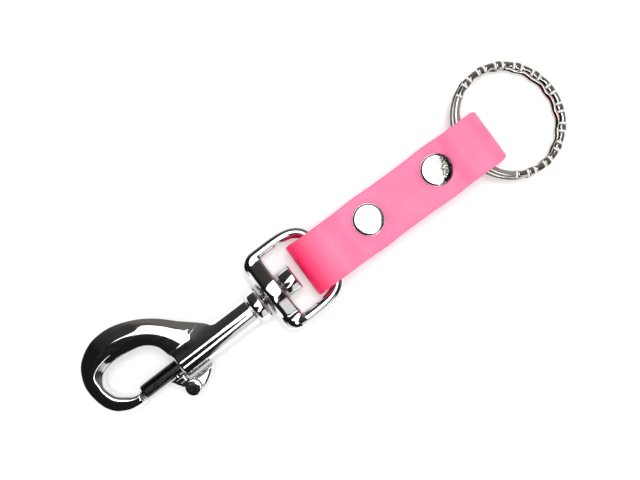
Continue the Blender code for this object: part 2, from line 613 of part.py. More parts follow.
def make_split_ring(ring_frame):
    """Two coils of flat wire, one step between them, and pressed segments on the side away from the strap."""
    half_wire = RING_WIRE_WIDTH / 2
    reach_x = RING_LENGTH / 2 - half_wire
    reach_y = RING_WIDTH / 2 - half_wire
    centre_x = reach_x - RING_PIVOT_INSET
    pitch = RING_COIL_HEIGHT + RING_COIL_GAP
    half_height = RING_COIL_HEIGHT / 2
    start = RING_BEND_START + RING_BEND_ARC - 2 * pi
    first_coil_end = start + 2 * pi - RING_BEND_ARC
    whole = 4 * pi - RING_BEND_ARC - 2 * RING_END_GAP
    count = round(whole / RING_STEP)
    bm = bmesh.new()
    loops = []
    for step in range(count + 1):
        angle = start + RING_END_GAP + whole * step / count
        rise = smooth_share((angle - first_coil_end) / RING_BEND_ARC)
        level = (rise - 0.5) * pitch
        far_side = (angle + pi) % (2 * pi) - pi
        phase = far_side / DIMPLE_ARC + 0.5
        raised = abs(far_side) < DIMPLE_HALF_REACH and phase - int(phase // 1) < 0.30
        rim = half_wire + (DIMPLE_BULGE if raised else 0.0)
        inner = -half_wire
        cut = RING_WIRE_ROUND
        shift = level / pitch * RING_COIL_SHIFT
        out_x, out_y = reach_y * cos(angle), reach_x * sin(angle)
        length = hypot(out_x, out_y)
        middle_x = centre_x + shift + reach_x * cos(angle)
        middle_y = reach_y * sin(angle)
        section = [(rim - cut, half_height), (rim, half_height - cut), (rim, cut - half_height),
                   (rim - cut, -half_height), (inner + cut, -half_height), (inner, cut - half_height),
                   (inner, half_height - cut), (inner + cut, half_height)]
        loops.append([bm.verts.new((middle_x + r * out_x / length, middle_y + r * out_y / length, level + z))
                      for r, z in section])
    for near, far in zip(loops, loops[1:]):
        for index in range(len(near)):
            after = (index + 1) % len(near)
            bm.faces.new((near[index], near[after], far[after], far[index]))
    bm.faces.new(loops[0])
    bm.faces.new(loops[-1])
    bmesh.ops.recalc_face_normals(bm, faces=bm.faces)
    mesh = bpy.data.meshes.new("split_ring")
    bm.to_mesh(mesh)
    bm.free()
    put("split_ring", mesh, ring_frame, ring_nickel)


eye_place = (EYE_PIVOT_X, EYE_SIDE_OFFSET, AXIS_Z)
hook_carrier = frame("hook_frame", eye_place, (0.0, 0.0, HOOK_YAW))
ring_drop = AXIS_Z - TABLE_Z - RING_COIL_HEIGHT - RING_COIL_GAP / 2
ring_reach = RING_LENGTH - RING_WIRE_WIDTH / 2 - RING_PIVOT_INSET
ring_carrier = frame("ring_frame", (RING_PIVOT_X, 0.0, AXIS_Z), (0.0, asin(ring_drop / ring_reach), 0.0))

make_strap()
for rivet_number, rivet_side in ((1, -1), (2, 1)):
    make_rivet(rivet_number, rivet_side * RIVET_SPACING / 2)
make_eye(hook_carrier)
make_swivel_rivet(hook_carrier)
make_hook_body(hook_carrier)
make_bolt(hook_carrier)
make_thumb_knob(hook_carrier)
make_spring(hook_carrier)
make_split_ring(ring_carrier)
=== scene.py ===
from math import cos, pi, radians, sin, tan

import bmesh
import bpy
import numpy as np
from mathutils import Matrix, Vector


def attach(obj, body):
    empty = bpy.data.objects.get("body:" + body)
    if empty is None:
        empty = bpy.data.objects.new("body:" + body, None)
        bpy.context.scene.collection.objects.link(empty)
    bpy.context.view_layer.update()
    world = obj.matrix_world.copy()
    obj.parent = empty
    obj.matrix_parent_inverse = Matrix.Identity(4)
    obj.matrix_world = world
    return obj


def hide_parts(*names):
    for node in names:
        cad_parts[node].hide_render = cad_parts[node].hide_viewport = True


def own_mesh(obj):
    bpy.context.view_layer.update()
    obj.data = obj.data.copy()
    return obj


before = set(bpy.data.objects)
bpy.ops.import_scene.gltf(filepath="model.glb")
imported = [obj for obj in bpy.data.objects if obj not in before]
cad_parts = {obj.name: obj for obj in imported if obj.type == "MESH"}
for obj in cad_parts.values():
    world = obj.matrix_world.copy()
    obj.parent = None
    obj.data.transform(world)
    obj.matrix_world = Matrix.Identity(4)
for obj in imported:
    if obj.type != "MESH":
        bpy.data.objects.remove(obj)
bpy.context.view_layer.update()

# The strap is one strip of dyed, sealed leather. It runs through the snap's eye and the split ring,
# folds back behind itself at both ends, and is held by two rivets. All sizes here are millimetres,
# and each finished mesh is brought to metres once.
MM = 0.001
STRAP_WIDTH = 15.9
STRAP_THICKNESS = 2.2
LAYER_GAP = 0.3
TAIL_SPLIT = 3.0
LOOP_RADIUS = 4.3
FRONT_RISE = 1.6
EYE_REACH, EYE_LOOP, EYE_SPREAD = 34.8, 5.2, 7.0
RING_REACH, RING_LOOP, RING_SPREAD = 30.2, 4.4, 4.6
RIVET_SPACING = 23.1
RIVET_SIDE = 0.8
CAP_RADIUS = 4.7
CAP_SEAT = 0.15
STRAP_EDGE_ROUND = 0.62
EDGE_BULGE, EDGE_BULGE_LENGTH = 0.25, 4.5
FOLD_FLARE, FOLD_FLARE_LENGTH = 0.25, 5.0
TIP_TAPER, TIP_TAPER_LENGTH, TIP_ROUND = 0.9, 2.4, 0.99
PRESS_START, PRESS_LENGTH = 0.1, 1.2
SWELL_HEIGHT, SWELL_START, SWELL_LENGTH = 0.06, 1.6, 0.8
END_CUTS = (0.22, 0.06)
FLAT_SHARE = 0.86
STRAP_STEP = 0.4
POST_HOLE_RADIUS = 2.05
PUNCH_LENGTH = 12

FRONT_MID = -STRAP_THICKNESS / 2
AXIS_Z = FRONT_MID + FRONT_RISE - LOOP_RADIUS
BACK_MID = FRONT_MID - STRAP_THICKNESS - LAYER_GAP
TABLE_Z = AXIS_Z - LOOP_RADIUS - STRAP_THICKNESS / 2


def eased(share):
    """Eases a share from 0 to 1, for a number or an array."""
    share = np.clip(share, 0.0, 1.0)
    return share * share * (3.0 - 2.0 * share)


def half_strip(reach, loop, spread):
    """Middle line of half the strip, as (x, z): along the front, round the fold and back to the tail."""
    fold_x = reach - STRAP_THICKNESS / 2 - LOOP_RADIUS
    flat_end = fold_x - loop - spread
    run = np.linspace(0.0, fold_x, round(fold_x / STRAP_STEP))
    share = eased((run - flat_end) / spread)
    front = np.stack([run, FRONT_MID + share * (AXIS_Z + LOOP_RADIUS - FRONT_MID)], 1)
    back = np.stack([run, BACK_MID + share * (AXIS_Z - LOOP_RADIUS - BACK_MID)], 1)[::-1]
    turn = np.linspace(pi / 2, -pi / 2, round(pi * LOOP_RADIUS / STRAP_STEP))[1:-1]
    fold = np.stack([fold_x + LOOP_RADIUS * np.cos(turn), AXIS_Z + LOOP_RADIUS * np.sin(turn)], 1)
    return np.concatenate([front, fold, back[back[:, 0] > TAIL_SPLIT / 2]])


def strip_half_width(x):
    """The strip swells beside its rivets, flares over the snap's fold and narrows at the ring's fold."""
    width = np.full_like(x, STRAP_WIDTH / 2)
    for side in (-1, 1):
        width += EDGE_BULGE * np.exp(-((x - side * RIVET_SPACING / 2) / EDGE_BULGE_LENGTH) ** 2)
    width += FOLD_FLARE * eased(1.0 - (x + EYE_REACH) / FOLD_FLARE_LENGTH)
    tip = eased(1.0 - (RING_REACH - x) / TIP_TAPER_LENGTH)
    return width - TIP_TAPER * (1.0 - np.sqrt(1.0 - tip * TIP_ROUND))


def placed(name, data):
    """A new object of this data, in the scene."""
    obj = bpy.data.objects.new(name, data)
    bpy.context.scene.collection.objects.link(obj)
    return obj


def mesh_object(name, places, faces, material):
    """A smooth mesh from places in millimetres."""
    mesh = bpy.data.meshes.new(name)
    mesh.from_pydata((np.asarray(places) * MM).tolist(), [], faces)
    mesh.validate()
    mesh.materials.append(material)
    mesh.shade_smooth()
    return placed(name, mesh)


def swept(sections):
    """Places and faces of a skin through equal rings of points, closed with a face at each end."""
    count = len(sections[0])
    places = np.concatenate(sections)
    faces = []
    for ring in range(len(sections) - 1):
        for index in range(count):
            after = (index + 1) % count
            a, b = ring * count, (ring + 1) * count
            faces.append((a + index, a + after, b + after, b + index))
    faces.append(tuple(range(count))[::-1])
    faces.append(tuple(range(len(places) - count, len(places))))
    return places, faces


def faced_out(mesh):
    """Merges doubles and turns all faces outwards."""
    bm = bmesh.new()
    bm.from_mesh(mesh)
    bmesh.ops.remove_doubles(bm, verts=bm.verts, dist=0.002 * MM)
    bmesh.ops.recalc_face_normals(bm, faces=bm.faces)
    bm.to_mesh(mesh)
    bm.free()


def final_mesh(obj):
    """Bakes the modifiers of an object into its mesh."""
    bpy.context.view_layer.update()
    graph = bpy.context.evaluated_depsgraph_get()
    mesh = bpy.data.meshes.new_from_object(obj.evaluated_get(graph), depsgraph=graph)
    obj.modifiers.clear()
    obj.data = mesh
    return obj


def wired(node, sockets):
    """A node with its sockets set or linked, by name or number."""
    for name, value in sockets.items():
        if isinstance(value, bpy.types.NodeSocket):
            node.id_data.links.new(value, node.inputs[name])
        else:
            node.inputs[name].default_value = value
    return node


def node_add(material, kind, **sockets):
    """A new shader node with its sockets set or linked. An underscore stands for a space."""
    named = {name.replace("_", " "): value for name, value in sockets.items()}
    return wired(material.node_tree.nodes.new(kind), named)


def plain_material(name, color, roughness, metallic):
    """A Principled material, its shader and its object coordinates."""
    material = bpy.data.materials.new(name)
    material.use_nodes = True
    material.diffuse_color = (*color, 1.0)
    shader = material.node_tree.nodes["Principled BSDF"]
    wired(shader, {"Base Color": (*color, 1.0), "Roughness": roughness, "Metallic": metallic})
    place = material.node_tree.nodes.new("ShaderNodeTexCoord").outputs["Object"]
    return material, shader, place


def noise(material, place, size, detail=2.0, roughness=0.5, stretch=(1.0, 1.0, 1.0)):
    """Noise whose grains are about this many millimetres across, longer where the stretch is larger."""
    scale = [1.0 / (size * MM * s) for s in stretch]
    mapped = node_add(material, "ShaderNodeMapping", Vector=place, Scale=scale).outputs["Vector"]
    node = node_add(material, "ShaderNodeTexNoise", Vector=mapped, Scale=1.0, Detail=detail,
                    Roughness=roughness)
    return node.outputs["Fac"]


def ranged(material, value, low, high, to_low, to_high):
    """A value moved from one range to another, and held there."""
    node = node_add(material, "ShaderNodeMapRange", Value=value, From_Min=low, From_Max=high,
                    To_Min=to_low, To_Max=to_high)
    return node.outputs["Result"]


def mixed(material, share, first, second):
    """Two colours mixed by a share."""
    node = material.node_tree.nodes.new("ShaderNodeMix")
    node.data_type = 'RGBA'
    return wired(node, {0: share, 6: first, 7: second}).outputs[2]


def distance_along(material, place, direction):
    """How far each place lies in one direction."""
    node = material.node_tree.nodes.new("ShaderNodeVectorMath")
    node.operation = 'DOT_PRODUCT'
    return wired(node, {0: place, 1: direction}).outputs["Value"]


def bumped(material, shader, height, depth, strength, below=None):
    """Relief on a shader from a height, this many millimetres deep."""
    node = node_add(material, "ShaderNodeBump", Height=height, Distance=depth * MM, Strength=strength)
    if below is not None:
        wired(node, {"Normal": below})
    wired(shader, {"Normal": node.outputs["Normal"]})
    return node.outputs["Normal"]


STRAP_PINK = (0.94, 0.19, 0.37)
# The deep colour is painted shade for the strap's fold at the snap's end.
STRAP_FOLD_SHADE = (1.0, 0.012, 0.12)
STRAP_PALE = (0.97, 0.25, 0.43)
STRAP_SPECK = (0.75, 0.10, 0.25)
FOLD_SHADE_START, FOLD_SHADE_FULL = -24.0, -33.5


def strap_material():
    """Smooth dyed leather with faint clouds, fine grain and a few specks, and painted shade that deepens the
    colour towards the snap's fold.
    """
    material, shader, place = plain_material("strap_leather", STRAP_PINK, 0.46, 0.0)
    clouds = ranged(material, noise(material, place, 9.0, 3.0), 0.38, 0.64, 0.0, 0.55)
    color = mixed(material, clouds, (*STRAP_PINK, 1), (*STRAP_PALE, 1))
    along = distance_along(material, place, (1.0, 0.0, 0.0))
    # Painted shade: the colour deepens towards the snap's fold, where the strap turns away from the light.
    fold_shade = ranged(material, along, FOLD_SHADE_START * MM, FOLD_SHADE_FULL * MM, 0.0, 1.0)
    color = mixed(material, fold_shade, color, (*STRAP_FOLD_SHADE, 1))
    specks = ranged(material, noise(material, place, 0.9, 1.0), 0.74, 0.78, 0.0, 0.35)
    color = mixed(material, specks, color, (*STRAP_SPECK, 1))
    dull = ranged(material, noise(material, place, 1.6, 3.0), 0.3, 0.7, 0.40, 0.52)
    wired(shader, {"Base Color": color, "Roughness": dull, "Specular IOR Level": 0.6})
    soft = bumped(material, shader, noise(material, place, 2.4, 2.0), 0.05, 0.5)
    bumped(material, shader, noise(material, place, 0.22, 4.0, 0.6), 0.02, 0.35, soft)
    return material


def strap_places():
    """Rings of points along the strip, with rounded edges, pressed in round each rivet."""
    eye_half = half_strip(EYE_REACH, EYE_LOOP, EYE_SPREAD) * (-1, 1)
    ring_half = half_strip(RING_REACH, RING_LOOP, RING_SPREAD)
    line = np.concatenate([eye_half[::-1], ring_half[1:]])
    along = np.gradient(line, axis=0)
    along /= np.linalg.norm(along, axis=1)[:, None]
    normal = np.stack([-along[:, 1], along[:, 0]], 1)
    half = strip_half_width(line[:, 0])
    thick = STRAP_THICKNESS / 2
    rounding = STRAP_EDGE_ROUND
    outline = []
    for side, face in ((1, 1), (-1, 1), (-1, -1), (1, -1)):
        turns = np.linspace(0, pi / 2, 7) if side == face else np.linspace(pi / 2, 0, 7)
        outline += [(side, face, rounding * cos(a), rounding * sin(a)) for a in turns]
        if side == face:
            outline += [(side * share, face, 0.0, rounding)
                        for share in np.linspace(FLAT_SHARE, -FLAT_SHARE, 13)]
    sections = []
    for number, ((x, z), (nx, nz), width) in enumerate(zip(line, normal, half)):
        from_end = min(number, len(line) - 1 - number)
        cut = 0.0 if from_end > 1 else END_CUTS[from_end]
        ring = []
        for side, face, reach, lift in outline:
            y = side * (width - rounding) + np.sign(side) * max(reach - cut, 0.0)
            height = face * (thick - rounding + lift - cut)
            for rivet in (-1, 1):
                away = np.hypot(x - rivet * RIVET_SPACING / 2, y - RIVET_SIDE)
                pressed = CAP_SEAT * (1.0 - eased((away - CAP_RADIUS - PRESS_START) / PRESS_LENGTH))
                swell = SWELL_HEIGHT * np.exp(-((away - CAP_RADIUS - SWELL_START) / SWELL_LENGTH) ** 2)
                height += (swell - pressed) * (face > 0)
            ring.append((x + nx * height, y, z + nz * height))
        sections.append(np.array(ring))
    return swept(sections)


strap = mesh_object("strap_strip", *strap_places(), strap_material())
faced_out(strap.data)
for rivet_side in (-1, 1):
    bpy.ops.mesh.primitive_cylinder_add(vertices=48, radius=POST_HOLE_RADIUS * MM, depth=PUNCH_LENGTH * MM)
    punch = bpy.context.object
    punch.location = (rivet_side * RIVET_SPACING / 2 * MM, RIVET_SIDE * MM, BACK_MID * MM)
    hole = strap.modifiers.new("Hole", 'BOOLEAN')
    hole.operation = 'DIFFERENCE'
    hole.object = punch
    final_mesh(strap)
    bpy.data.objects.remove(punch, do_unlink=True)
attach(strap, "strap")
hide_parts("strap")

# The two rivets have nearly flat, polished nickel caps with a rolled edge, one on the front and one on
# the back. Each pair of caps is pressed onto a flanged post and a socket, which the strap hides.
CAP_RISE = 0.16
CAP_SHOULDER = 0.72
CAP_TALL = 1.25
CAP_WALL = 0.36
CAP_BEAD = 0.16
CAP_LIP_RADIUS = 0.24
CAP_INSIDE_LOW = 0.3
CAP_INSIDE_SHARES = (0.86, 0.9, 0.6)
CAP_ROUGHNESS = 0.12
CAP_COLOR = (0.84, 0.83, 0.81)
# Colour of the painted dark reflection on the caps.
CAP_DARK_REFLECTION_COLOR = (0.06, 0.052, 0.046)
DARK_REFLECTION_START, DARK_REFLECTION_FULL = 11.2, 13.0
DARK_REFLECTION_SLANT = (1.0, -0.45, 0.0)


class Field:
    """A number in a geometry node tree. Sums and products of it add the math nodes."""

    def __init__(self, tree, socket):
        self.tree = tree
        self.socket = socket

    def __add__(self, other):
        return self.tree.math('ADD', self, other)

    def __sub__(self, other):
        return self.tree.math('SUBTRACT', self, other)

    def __mul__(self, other):
        return self.tree.math('MULTIPLY', self, other)

    def __truediv__(self, other):
        return self.tree.math('DIVIDE', self, other)


class Tree:
    """A geometry node tree with named sizes, which ends in one set of faces."""

    def __init__(self, name, sizes):
        self.tree = bpy.data.node_groups.new(name, 'GeometryNodeTree')
        self.tree.interface.new_socket("Geometry", in_out='INPUT', socket_type='NodeSocketGeometry')
        self.tree.interface.new_socket("Geometry", in_out='OUTPUT', socket_type='NodeSocketGeometry')
        self.values = {}
        for label, value in sizes.items():
            socket = self.tree.interface.new_socket(label, in_out='INPUT', socket_type='NodeSocketFloat')
            self.values[socket.identifier] = value
        self.start = self.tree.nodes.new("NodeGroupInput")

    def size(self, label):
        return Field(self, self.start.outputs[label])

    def add(self, kind, inputs=(), **settings):
        """A node; its inputs are given by name or number as values, sockets or fields."""
        node = self.tree.nodes.new(kind)
        for name, value in settings.items():
            setattr(node, name, value)
        return wired(node, {name: value.socket if isinstance(value, Field) else value
                            for name, value in dict(inputs).items()})

    def math(self, operation, *values):
        """The result of a math node."""
        node = self.add("ShaderNodeMath", dict(enumerate(values)), operation=operation)
        return Field(self, node.outputs[0])

    def vector(self, x, y, z):
        return self.add("ShaderNodeCombineXYZ", {0: x, 1: y, 2: z}).outputs[0]

    def grow(self, name, geometry, material, base=None):
        """Runs the tree, on a base mesh where it needs one, and returns its plain mesh as an object."""
        real = self.add("GeometryNodeRealizeInstances", {0: geometry}).outputs[0]
        smooth = self.add("GeometryNodeSetShadeSmooth", {0: real}).outputs[0]
        painted = self.add("GeometryNodeSetMaterial", {"Geometry": smooth, "Material": material}).outputs[0]
        end = self.tree.nodes.new("NodeGroupOutput")
        self.tree.links.new(painted, end.inputs[0])
        obj = base or placed(name, bpy.data.meshes.new(name))
        modifier = obj.modifiers.new("Grow", 'NODES')
        modifier.node_group = self.tree
        for identifier, value in self.values.items():
            modifier[identifier] = value
        return final_mesh(obj)


def turned(profile, steps=96):
    """Places and faces of a profile of (radius, height) turned round Z; both ends lie on the axis."""
    angles = np.arange(steps) * 2 * pi / steps
    places = [(0.0, 0.0, profile[0][1])]
    for radius, height in profile[1:-1]:
        places += [(radius * cos(a), radius * sin(a), height) for a in angles]
    places.append((0.0, 0.0, profile[-1][1]))
    rings = len(profile) - 2
    faces = []
    for index in range(steps):
        after = (index + 1) % steps
        faces.append((0, 1 + index, 1 + after))
        for ring in range(rings - 1):
            a, b = 1 + ring * steps, 1 + (ring + 1) * steps
            faces.append((a + index, b + index, b + after, a + after))
        last = 1 + (rings - 1) * steps
        faces.append((len(places) - 1, last + after, last + index))
    return np.array(places), faces


def arc(centre_radius, centre_height, radius, start, end, steps=8):
    """Points of an arc in a profile, from one angle to another in degrees; 90 points up the axis."""
    angles = np.radians(np.linspace(start, end, steps))
    return [(centre_radius + radius * cos(a), centre_height + radius * sin(a)) for a in angles]


def nickel_material(name, color, roughness):
    """Bright nickel plating with fine specks and faint clouds in its polish."""
    material, shader, place = plain_material(name, color, roughness, 1.0)
    clouds = noise(material, place, 0.7, 3.0)
    dull = ranged(material, clouds, 0.35, 0.7, roughness * 0.6, roughness * 1.6)
    wired(shader, {"Roughness": dull})
    wave = bumped(material, shader, noise(material, place, 1.1, 1.0), 0.012, 0.5)
    bumped(material, shader, noise(material, place, 0.16, 3.0, 0.7), 0.0035, 0.6, wave)
    return material, shader, place


def combined(material, operation, first, second):
    """Two values put together by one math step."""
    node = material.node_tree.nodes.new("ShaderNodeMath")
    node.operation = operation
    return wired(node, {0: first, 1: second}).outputs[0]


def cap_material():
    """Polished plating, with a painted dark reflection in blotches on the side of the caps nearest the ring.
    """
    material, shader, place = nickel_material("rivet_plating", CAP_COLOR, CAP_ROUGHNESS)
    # Painted reflection: dark blotches on the side of the caps nearest the ring stand for the dark room
    # mirrored there.
    along = distance_along(material, place, DARK_REFLECTION_SLANT)
    side = ranged(material, along, DARK_REFLECTION_START * MM, DARK_REFLECTION_FULL * MM, 0.0, 1.0)
    blotches = ranged(material, noise(material, place, 0.55, 4.0, 0.7), 0.32, 0.50, 0.0, 1.0)
    share = combined(material, 'MULTIPLY', side, blotches)
    color = mixed(material, share, (*CAP_COLOR, 1), (*CAP_DARK_REFLECTION_COLOR, 1))
    wired(shader, {"Base Color": color})
    return material


def cap_profile():
    """From the crown out over the rolled shoulder, round the lip and back under the crown."""
    flat = CAP_RADIUS - CAP_BEAD - CAP_SHOULDER
    top = CAP_TALL
    crown = [(flat * share, top - CAP_RISE * share ** 2) for share in np.linspace(0, 1, 16)]
    low = top - CAP_RISE - CAP_SHOULDER
    tilt = np.degrees(2 * CAP_RISE / flat)
    shoulder = arc(flat, low, CAP_SHOULDER, 90 - tilt, -12, 10)
    lip = arc(CAP_RADIUS - CAP_LIP_RADIUS, CAP_LIP_RADIUS, CAP_LIP_RADIUS, 75, -150, 12)
    inside_heights = (CAP_INSIDE_LOW, low, top - CAP_WALL - CAP_RISE * 0.5)
    inside = [(flat * share, height) for share, height in zip(CAP_INSIDE_SHARES, inside_heights)]
    return crown + shoulder[1:] + lip + inside + [(0.0, top - CAP_WALL)]


def rivet_plates():
    """One cap, set on both rivets' places, and turned over on the strap's back."""
    cap = mesh_object("rivet_plates", *turned(cap_profile()), rivet_material)
    tree = Tree("rivet_plates", {"Spacing": RIVET_SPACING * MM, "Side": RIVET_SIDE * MM,
                                 "Front Seat": -CAP_SEAT * MM,
                                 "Back Seat": (BACK_MID - STRAP_THICKNESS / 2 + CAP_SEAT) * MM})
    both = tree.add("GeometryNodeJoinGeometry")
    for seat, turn in (("Front Seat", 0.0), ("Back Seat", pi)):
        first = tree.vector(tree.size("Spacing") * -0.5, tree.size("Side"), tree.size(seat))
        line = tree.add("GeometryNodeMeshLine", {"Count": 2, "Start Location": first,
                                                 "Offset": tree.vector(tree.size("Spacing"), 0.0, 0.0)})
        caps = tree.add("GeometryNodeInstanceOnPoints", {"Points": line.outputs[0],
                                                         "Instance": tree.start.outputs["Geometry"],
                                                         "Rotation": (turn, 0.0, 0.0)})
        tree.tree.links.new(caps.outputs[0], both.inputs[0])
    return tree.grow("rivet_plates", both.outputs[0], rivet_material, cap)


rivet_material = cap_material()
plates = rivet_plates()
faced_out(plates.data)
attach(plates, "strap")
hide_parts("rivet_1_front_cap", "rivet_2_front_cap", "rivet_1_back_cap", "rivet_2_back_cap")
for number in (1, 2):
    for part in ("post", "socket"):
        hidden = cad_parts["rivet_%d_%s" % (number, part)]
        hidden.data.materials.clear()
        hidden.data.materials.append(rivet_material)

# The swivel eye is die-cast zinc with chrome plating: a round bow that the strap is folded over, closed
# by a pierced bar that is thickest in the middle and slopes down to the bow on both sides.
# Its own frame has the origin on the swing axis and X along the snap.
HOOK_PLACE = (-28.3, 0.4, AXIS_Z)
HOOK_YAW = radians(1.3)
EYE_HALF = 11.2
EYE_SIDE = 0.15
EYE_WIRE_RADIUS = 1.65
EYE_TIP = 1.15
EYE_CORNER = 1.9
EYE_BAR_X = -16.4
EYE_BAR_HALF = 3.2
EYE_BAR_END = 12.7
EYE_BAR_END_ROUND = 3.4
EYE_BAR_HEIGHTS = (
    (12.5, 1.2), (10.2, 1.6), (9.2, 1.9), (3.7, 4.1), (2.7, 4.45), (1.2, 4.6), (-0.6, 4.6), (-1.8, 4.4),
    (-3.6, 3.75), (-7.5, 1.75), (-8.5, 1.25), (-12.5, 0.9),
)
EYE_END_PLACE = (-16.2, -9.4)
EYE_END_RISE = 2.1
EYE_END_CURVE_X, EYE_END_CURVE_IN, EYE_END_CURVE_OUT = 0.03, 0.2, 0.13
EYE_BAR_CROWN = 0.018
EYE_LEFT_ROUND, EYE_RIGHT_ROUND = 1.7, 0.5
EYE_LEFT_DRAFT, EYE_RIGHT_DRAFT = 0.6, 0.25
EYE_DRAFT_HEIGHT = 1.35
EYE_SIDE_CHANGE = 3.0
EYE_THIN, EYE_ROUND_SHARE = 0.5, 0.8
EYE_WIRE_BACK = 0.6
EYE_NECK_RADIUS = 3.2
EYE_NECK_REACH = 0.75
EYE_BOW_FILLET, EYE_NECK_FILLET = 0.5, 0.4
EYE_HOLE_RADIUS, EYE_HOLE_EDGE, EYE_HOLE_OVERRUN = 2.5, 0.4, 1.0
BOW_START = -13.2
BOW_EXPONENT = 3.9
EYE_CAST_BOX = ((-20.0, -13.4, -5.4), (3.6, 13.4, 5.4))
CAST_CELL = 0.3
CAST_SMOOTHINGS = 2
SLOPE_REACH, LEAST_SLOPE = 0.1, 0.05

hook_matrix = Matrix.Translation(Vector(HOOK_PLACE) * MM) @ Matrix.Rotation(HOOK_YAW, 4, 'Z')


def rounded_line(points, steps=6):
    """A smooth curve through the points."""
    points = [np.array(p) for p in points]
    last = len(points) - 1
    result = []
    for index in range(last):
        a, b, c, d = (points[min(max(index + k, 0), last)] for k in (-1, 0, 1, 2))
        for step in range(steps):
            t = step / steps
            place = 0.5 * (2 * b + (c - a) * t + (2 * a - 5 * b + 4 * c - d) * t ** 2
                           + (3 * b - a - 3 * c + d) * t ** 3)
            result.append(tuple(place))
    return result + [tuple(points[-1])]


def line_distance(x, y, points, closed=False):
    """Distance of each place to a line through the points."""
    nearest = np.full(np.broadcast(x, y).shape, 1e9)
    ends = points[1:] + points[:1] if closed else points[1:]
    for (ax, ay), (bx, by) in zip(points, ends):
        ex, ey = bx - ax, by - ay
        share = np.clip(((x - ax) * ex + (y - ay) * ey) / (ex * ex + ey * ey), 0.0, 1.0)
        nearest = np.minimum(nearest, (x - ax - share * ex) ** 2 + (y - ay - share * ey) ** 2)
    return np.sqrt(nearest)


def blended(a, b, fillet):
    """Two solids joined with a fillet: fields are negative inside."""
    share = np.clip(0.5 + 0.5 * (b - a) / fillet, 0.0, 1.0)
    return b + (a - b) * share - fillet * share * (1.0 - share)


def edged(side, above, rounding):
    """The solid under two faces that meet in a rounded edge; both are distances, negative inside."""
    side, above = side + rounding, above + rounding
    corner = np.sqrt(np.maximum(side, 0.0) ** 2 + np.maximum(above, 0.0) ** 2)
    return corner + np.minimum(np.maximum(side, above), 0.0) - rounding


def cut_by(a, b, fillet):
    """The first solid without the second, with a softened edge."""
    return -blended(-a, b, fillet)


def shifted(spots, axes, shift):
    """Grid places moved back along two axes."""
    moved = spots.copy()
    moved[:, axes] -= shift
    return moved


def cast(name, field, box, material, cell=CAST_CELL):
    """Casts a field into a mesh: a point for each grid cell that its skin crosses, drawn onto the skin."""
    low, high = box
    axes = [np.arange(a, b + cell, cell) for a, b in zip(low, high)]
    value = field(*np.meshgrid(*axes, indexing='ij', sparse=True))
    inside = value < 0
    shape = np.array(value.shape) - 1
    total = np.zeros((*shape, 3))
    crossings = np.zeros(shape)
    links = []
    for axis in range(3):
        others = [a for a in range(3) if a != axis]
        first, second = np.delete(value, -1, axis), np.delete(value, 0, axis)
        crossed = (first < 0) != (second < 0)
        spots = np.argwhere(crossed)
        step = first[crossed] / (first[crossed] - second[crossed])
        points = spots.astype(float)
        points[:, axis] += step
        for shift in ((0, 0), (1, 0), (0, 1), (1, 1)):
            cells = shifted(spots, others, shift)
            fits = ((cells >= 0) & (cells < shape)).all(1)
            where = tuple(cells[fits].T)
            np.add.at(total, where, points[fits])
            np.add.at(crossings, where, 1)
        links.append((axis, others, spots, first[crossed] < 0))
    used = crossings > 0
    number = np.full(shape, -1)
    number[used] = np.arange(used.sum())
    places = total[used] / crossings[used][:, None] * cell + np.array(low)
    quads = []
    for axis, others, spots, outward in links:
        corners = []
        for shift in ((0, 0), (1, 0), (1, 1), (0, 1)):
            corners.append(number[tuple(shifted(spots, others, shift).T)])
        quad = np.stack(corners, 1)
        turn = outward if axis != 1 else ~outward
        quad[~turn] = quad[~turn][:, ::-1]
        quads.append(quad)
    quads = np.concatenate(quads)

    def value_at(spots):
        return field(spots[:, 0], spots[:, 1], spots[:, 2])

    def drawn_in(spots):
        """Moves places onto the skin along the field's slope."""
        reach = cell * SLOPE_REACH
        slope = np.stack([(value_at(spots + reach * e) - value_at(spots - reach * e)) / (2 * reach)
                          for e in np.eye(3)], 1)
        length = np.maximum((slope ** 2).sum(1), LEAST_SLOPE)
        step = np.clip(value_at(spots) / length, -cell, cell)
        return spots - slope * step[:, None]

    for _ in range(CAST_SMOOTHINGS):
        sums = np.zeros_like(places)
        counts = np.zeros(len(places))
        for a, b in ((0, 1), (1, 2), (2, 3), (3, 0)):
            for here, there in ((a, b), (b, a)):
                np.add.at(sums, quads[:, here], places[quads[:, there]])
                np.add.at(counts, quads[:, here], 1)
        places = drawn_in(0.5 * places + 0.5 * sums / counts[:, None])
    places = drawn_in(places)
    obj = mesh_object(name, places, quads.tolist(), material)
    obj.data.transform(hook_matrix)
    return obj


def chrome_material(name, color, roughness, wave_depth=0.02):
    """Chrome on a polished casting: a slow waviness, light buffing marks and a few pits and specks."""
    material, shader, place = plain_material(name, color, roughness, 1.0)
    marks = noise(material, place, 0.5, 2.0, 0.5, (4.0, 1.0, 1.0))
    dull = ranged(material, marks, 0.3, 0.75, roughness * 0.6, roughness * 1.7)
    wired(shader, {"Roughness": dull})
    wave = bumped(material, shader, noise(material, place, 2.2, 1.0), wave_depth, 0.5)
    pits = ranged(material, noise(material, place, 0.35, 2.0), 0.74, 0.84, 1.0, 0.0)
    bumped(material, shader, pits, 0.01, 0.4, wave)
    return material


def eye_bow():
    """Centreline of the eye: along the bar, round the corner and along the bow, one half mirrored."""
    inner = EYE_BAR_X - EYE_WIRE_BACK + EYE_CORNER
    half = [(inner - EYE_CORNER * sin(a), EYE_HALF - EYE_CORNER + EYE_CORNER * cos(a))
            for a in np.radians(np.linspace(90, 0, 9))]
    for a in np.radians(np.linspace(88, 0, 40)):
        across = EYE_HALF * sin(a) ** (2 / BOW_EXPONENT)
        half.append((BOW_START + (EYE_TIP - BOW_START) * cos(a) ** (2 / BOW_EXPONENT), across))
    return half + [(x, -y) for x, y in half[-2::-1]]


bow_line = eye_bow()
eye_heights = np.array(rounded_line(EYE_BAR_HEIGHTS))[::-1]


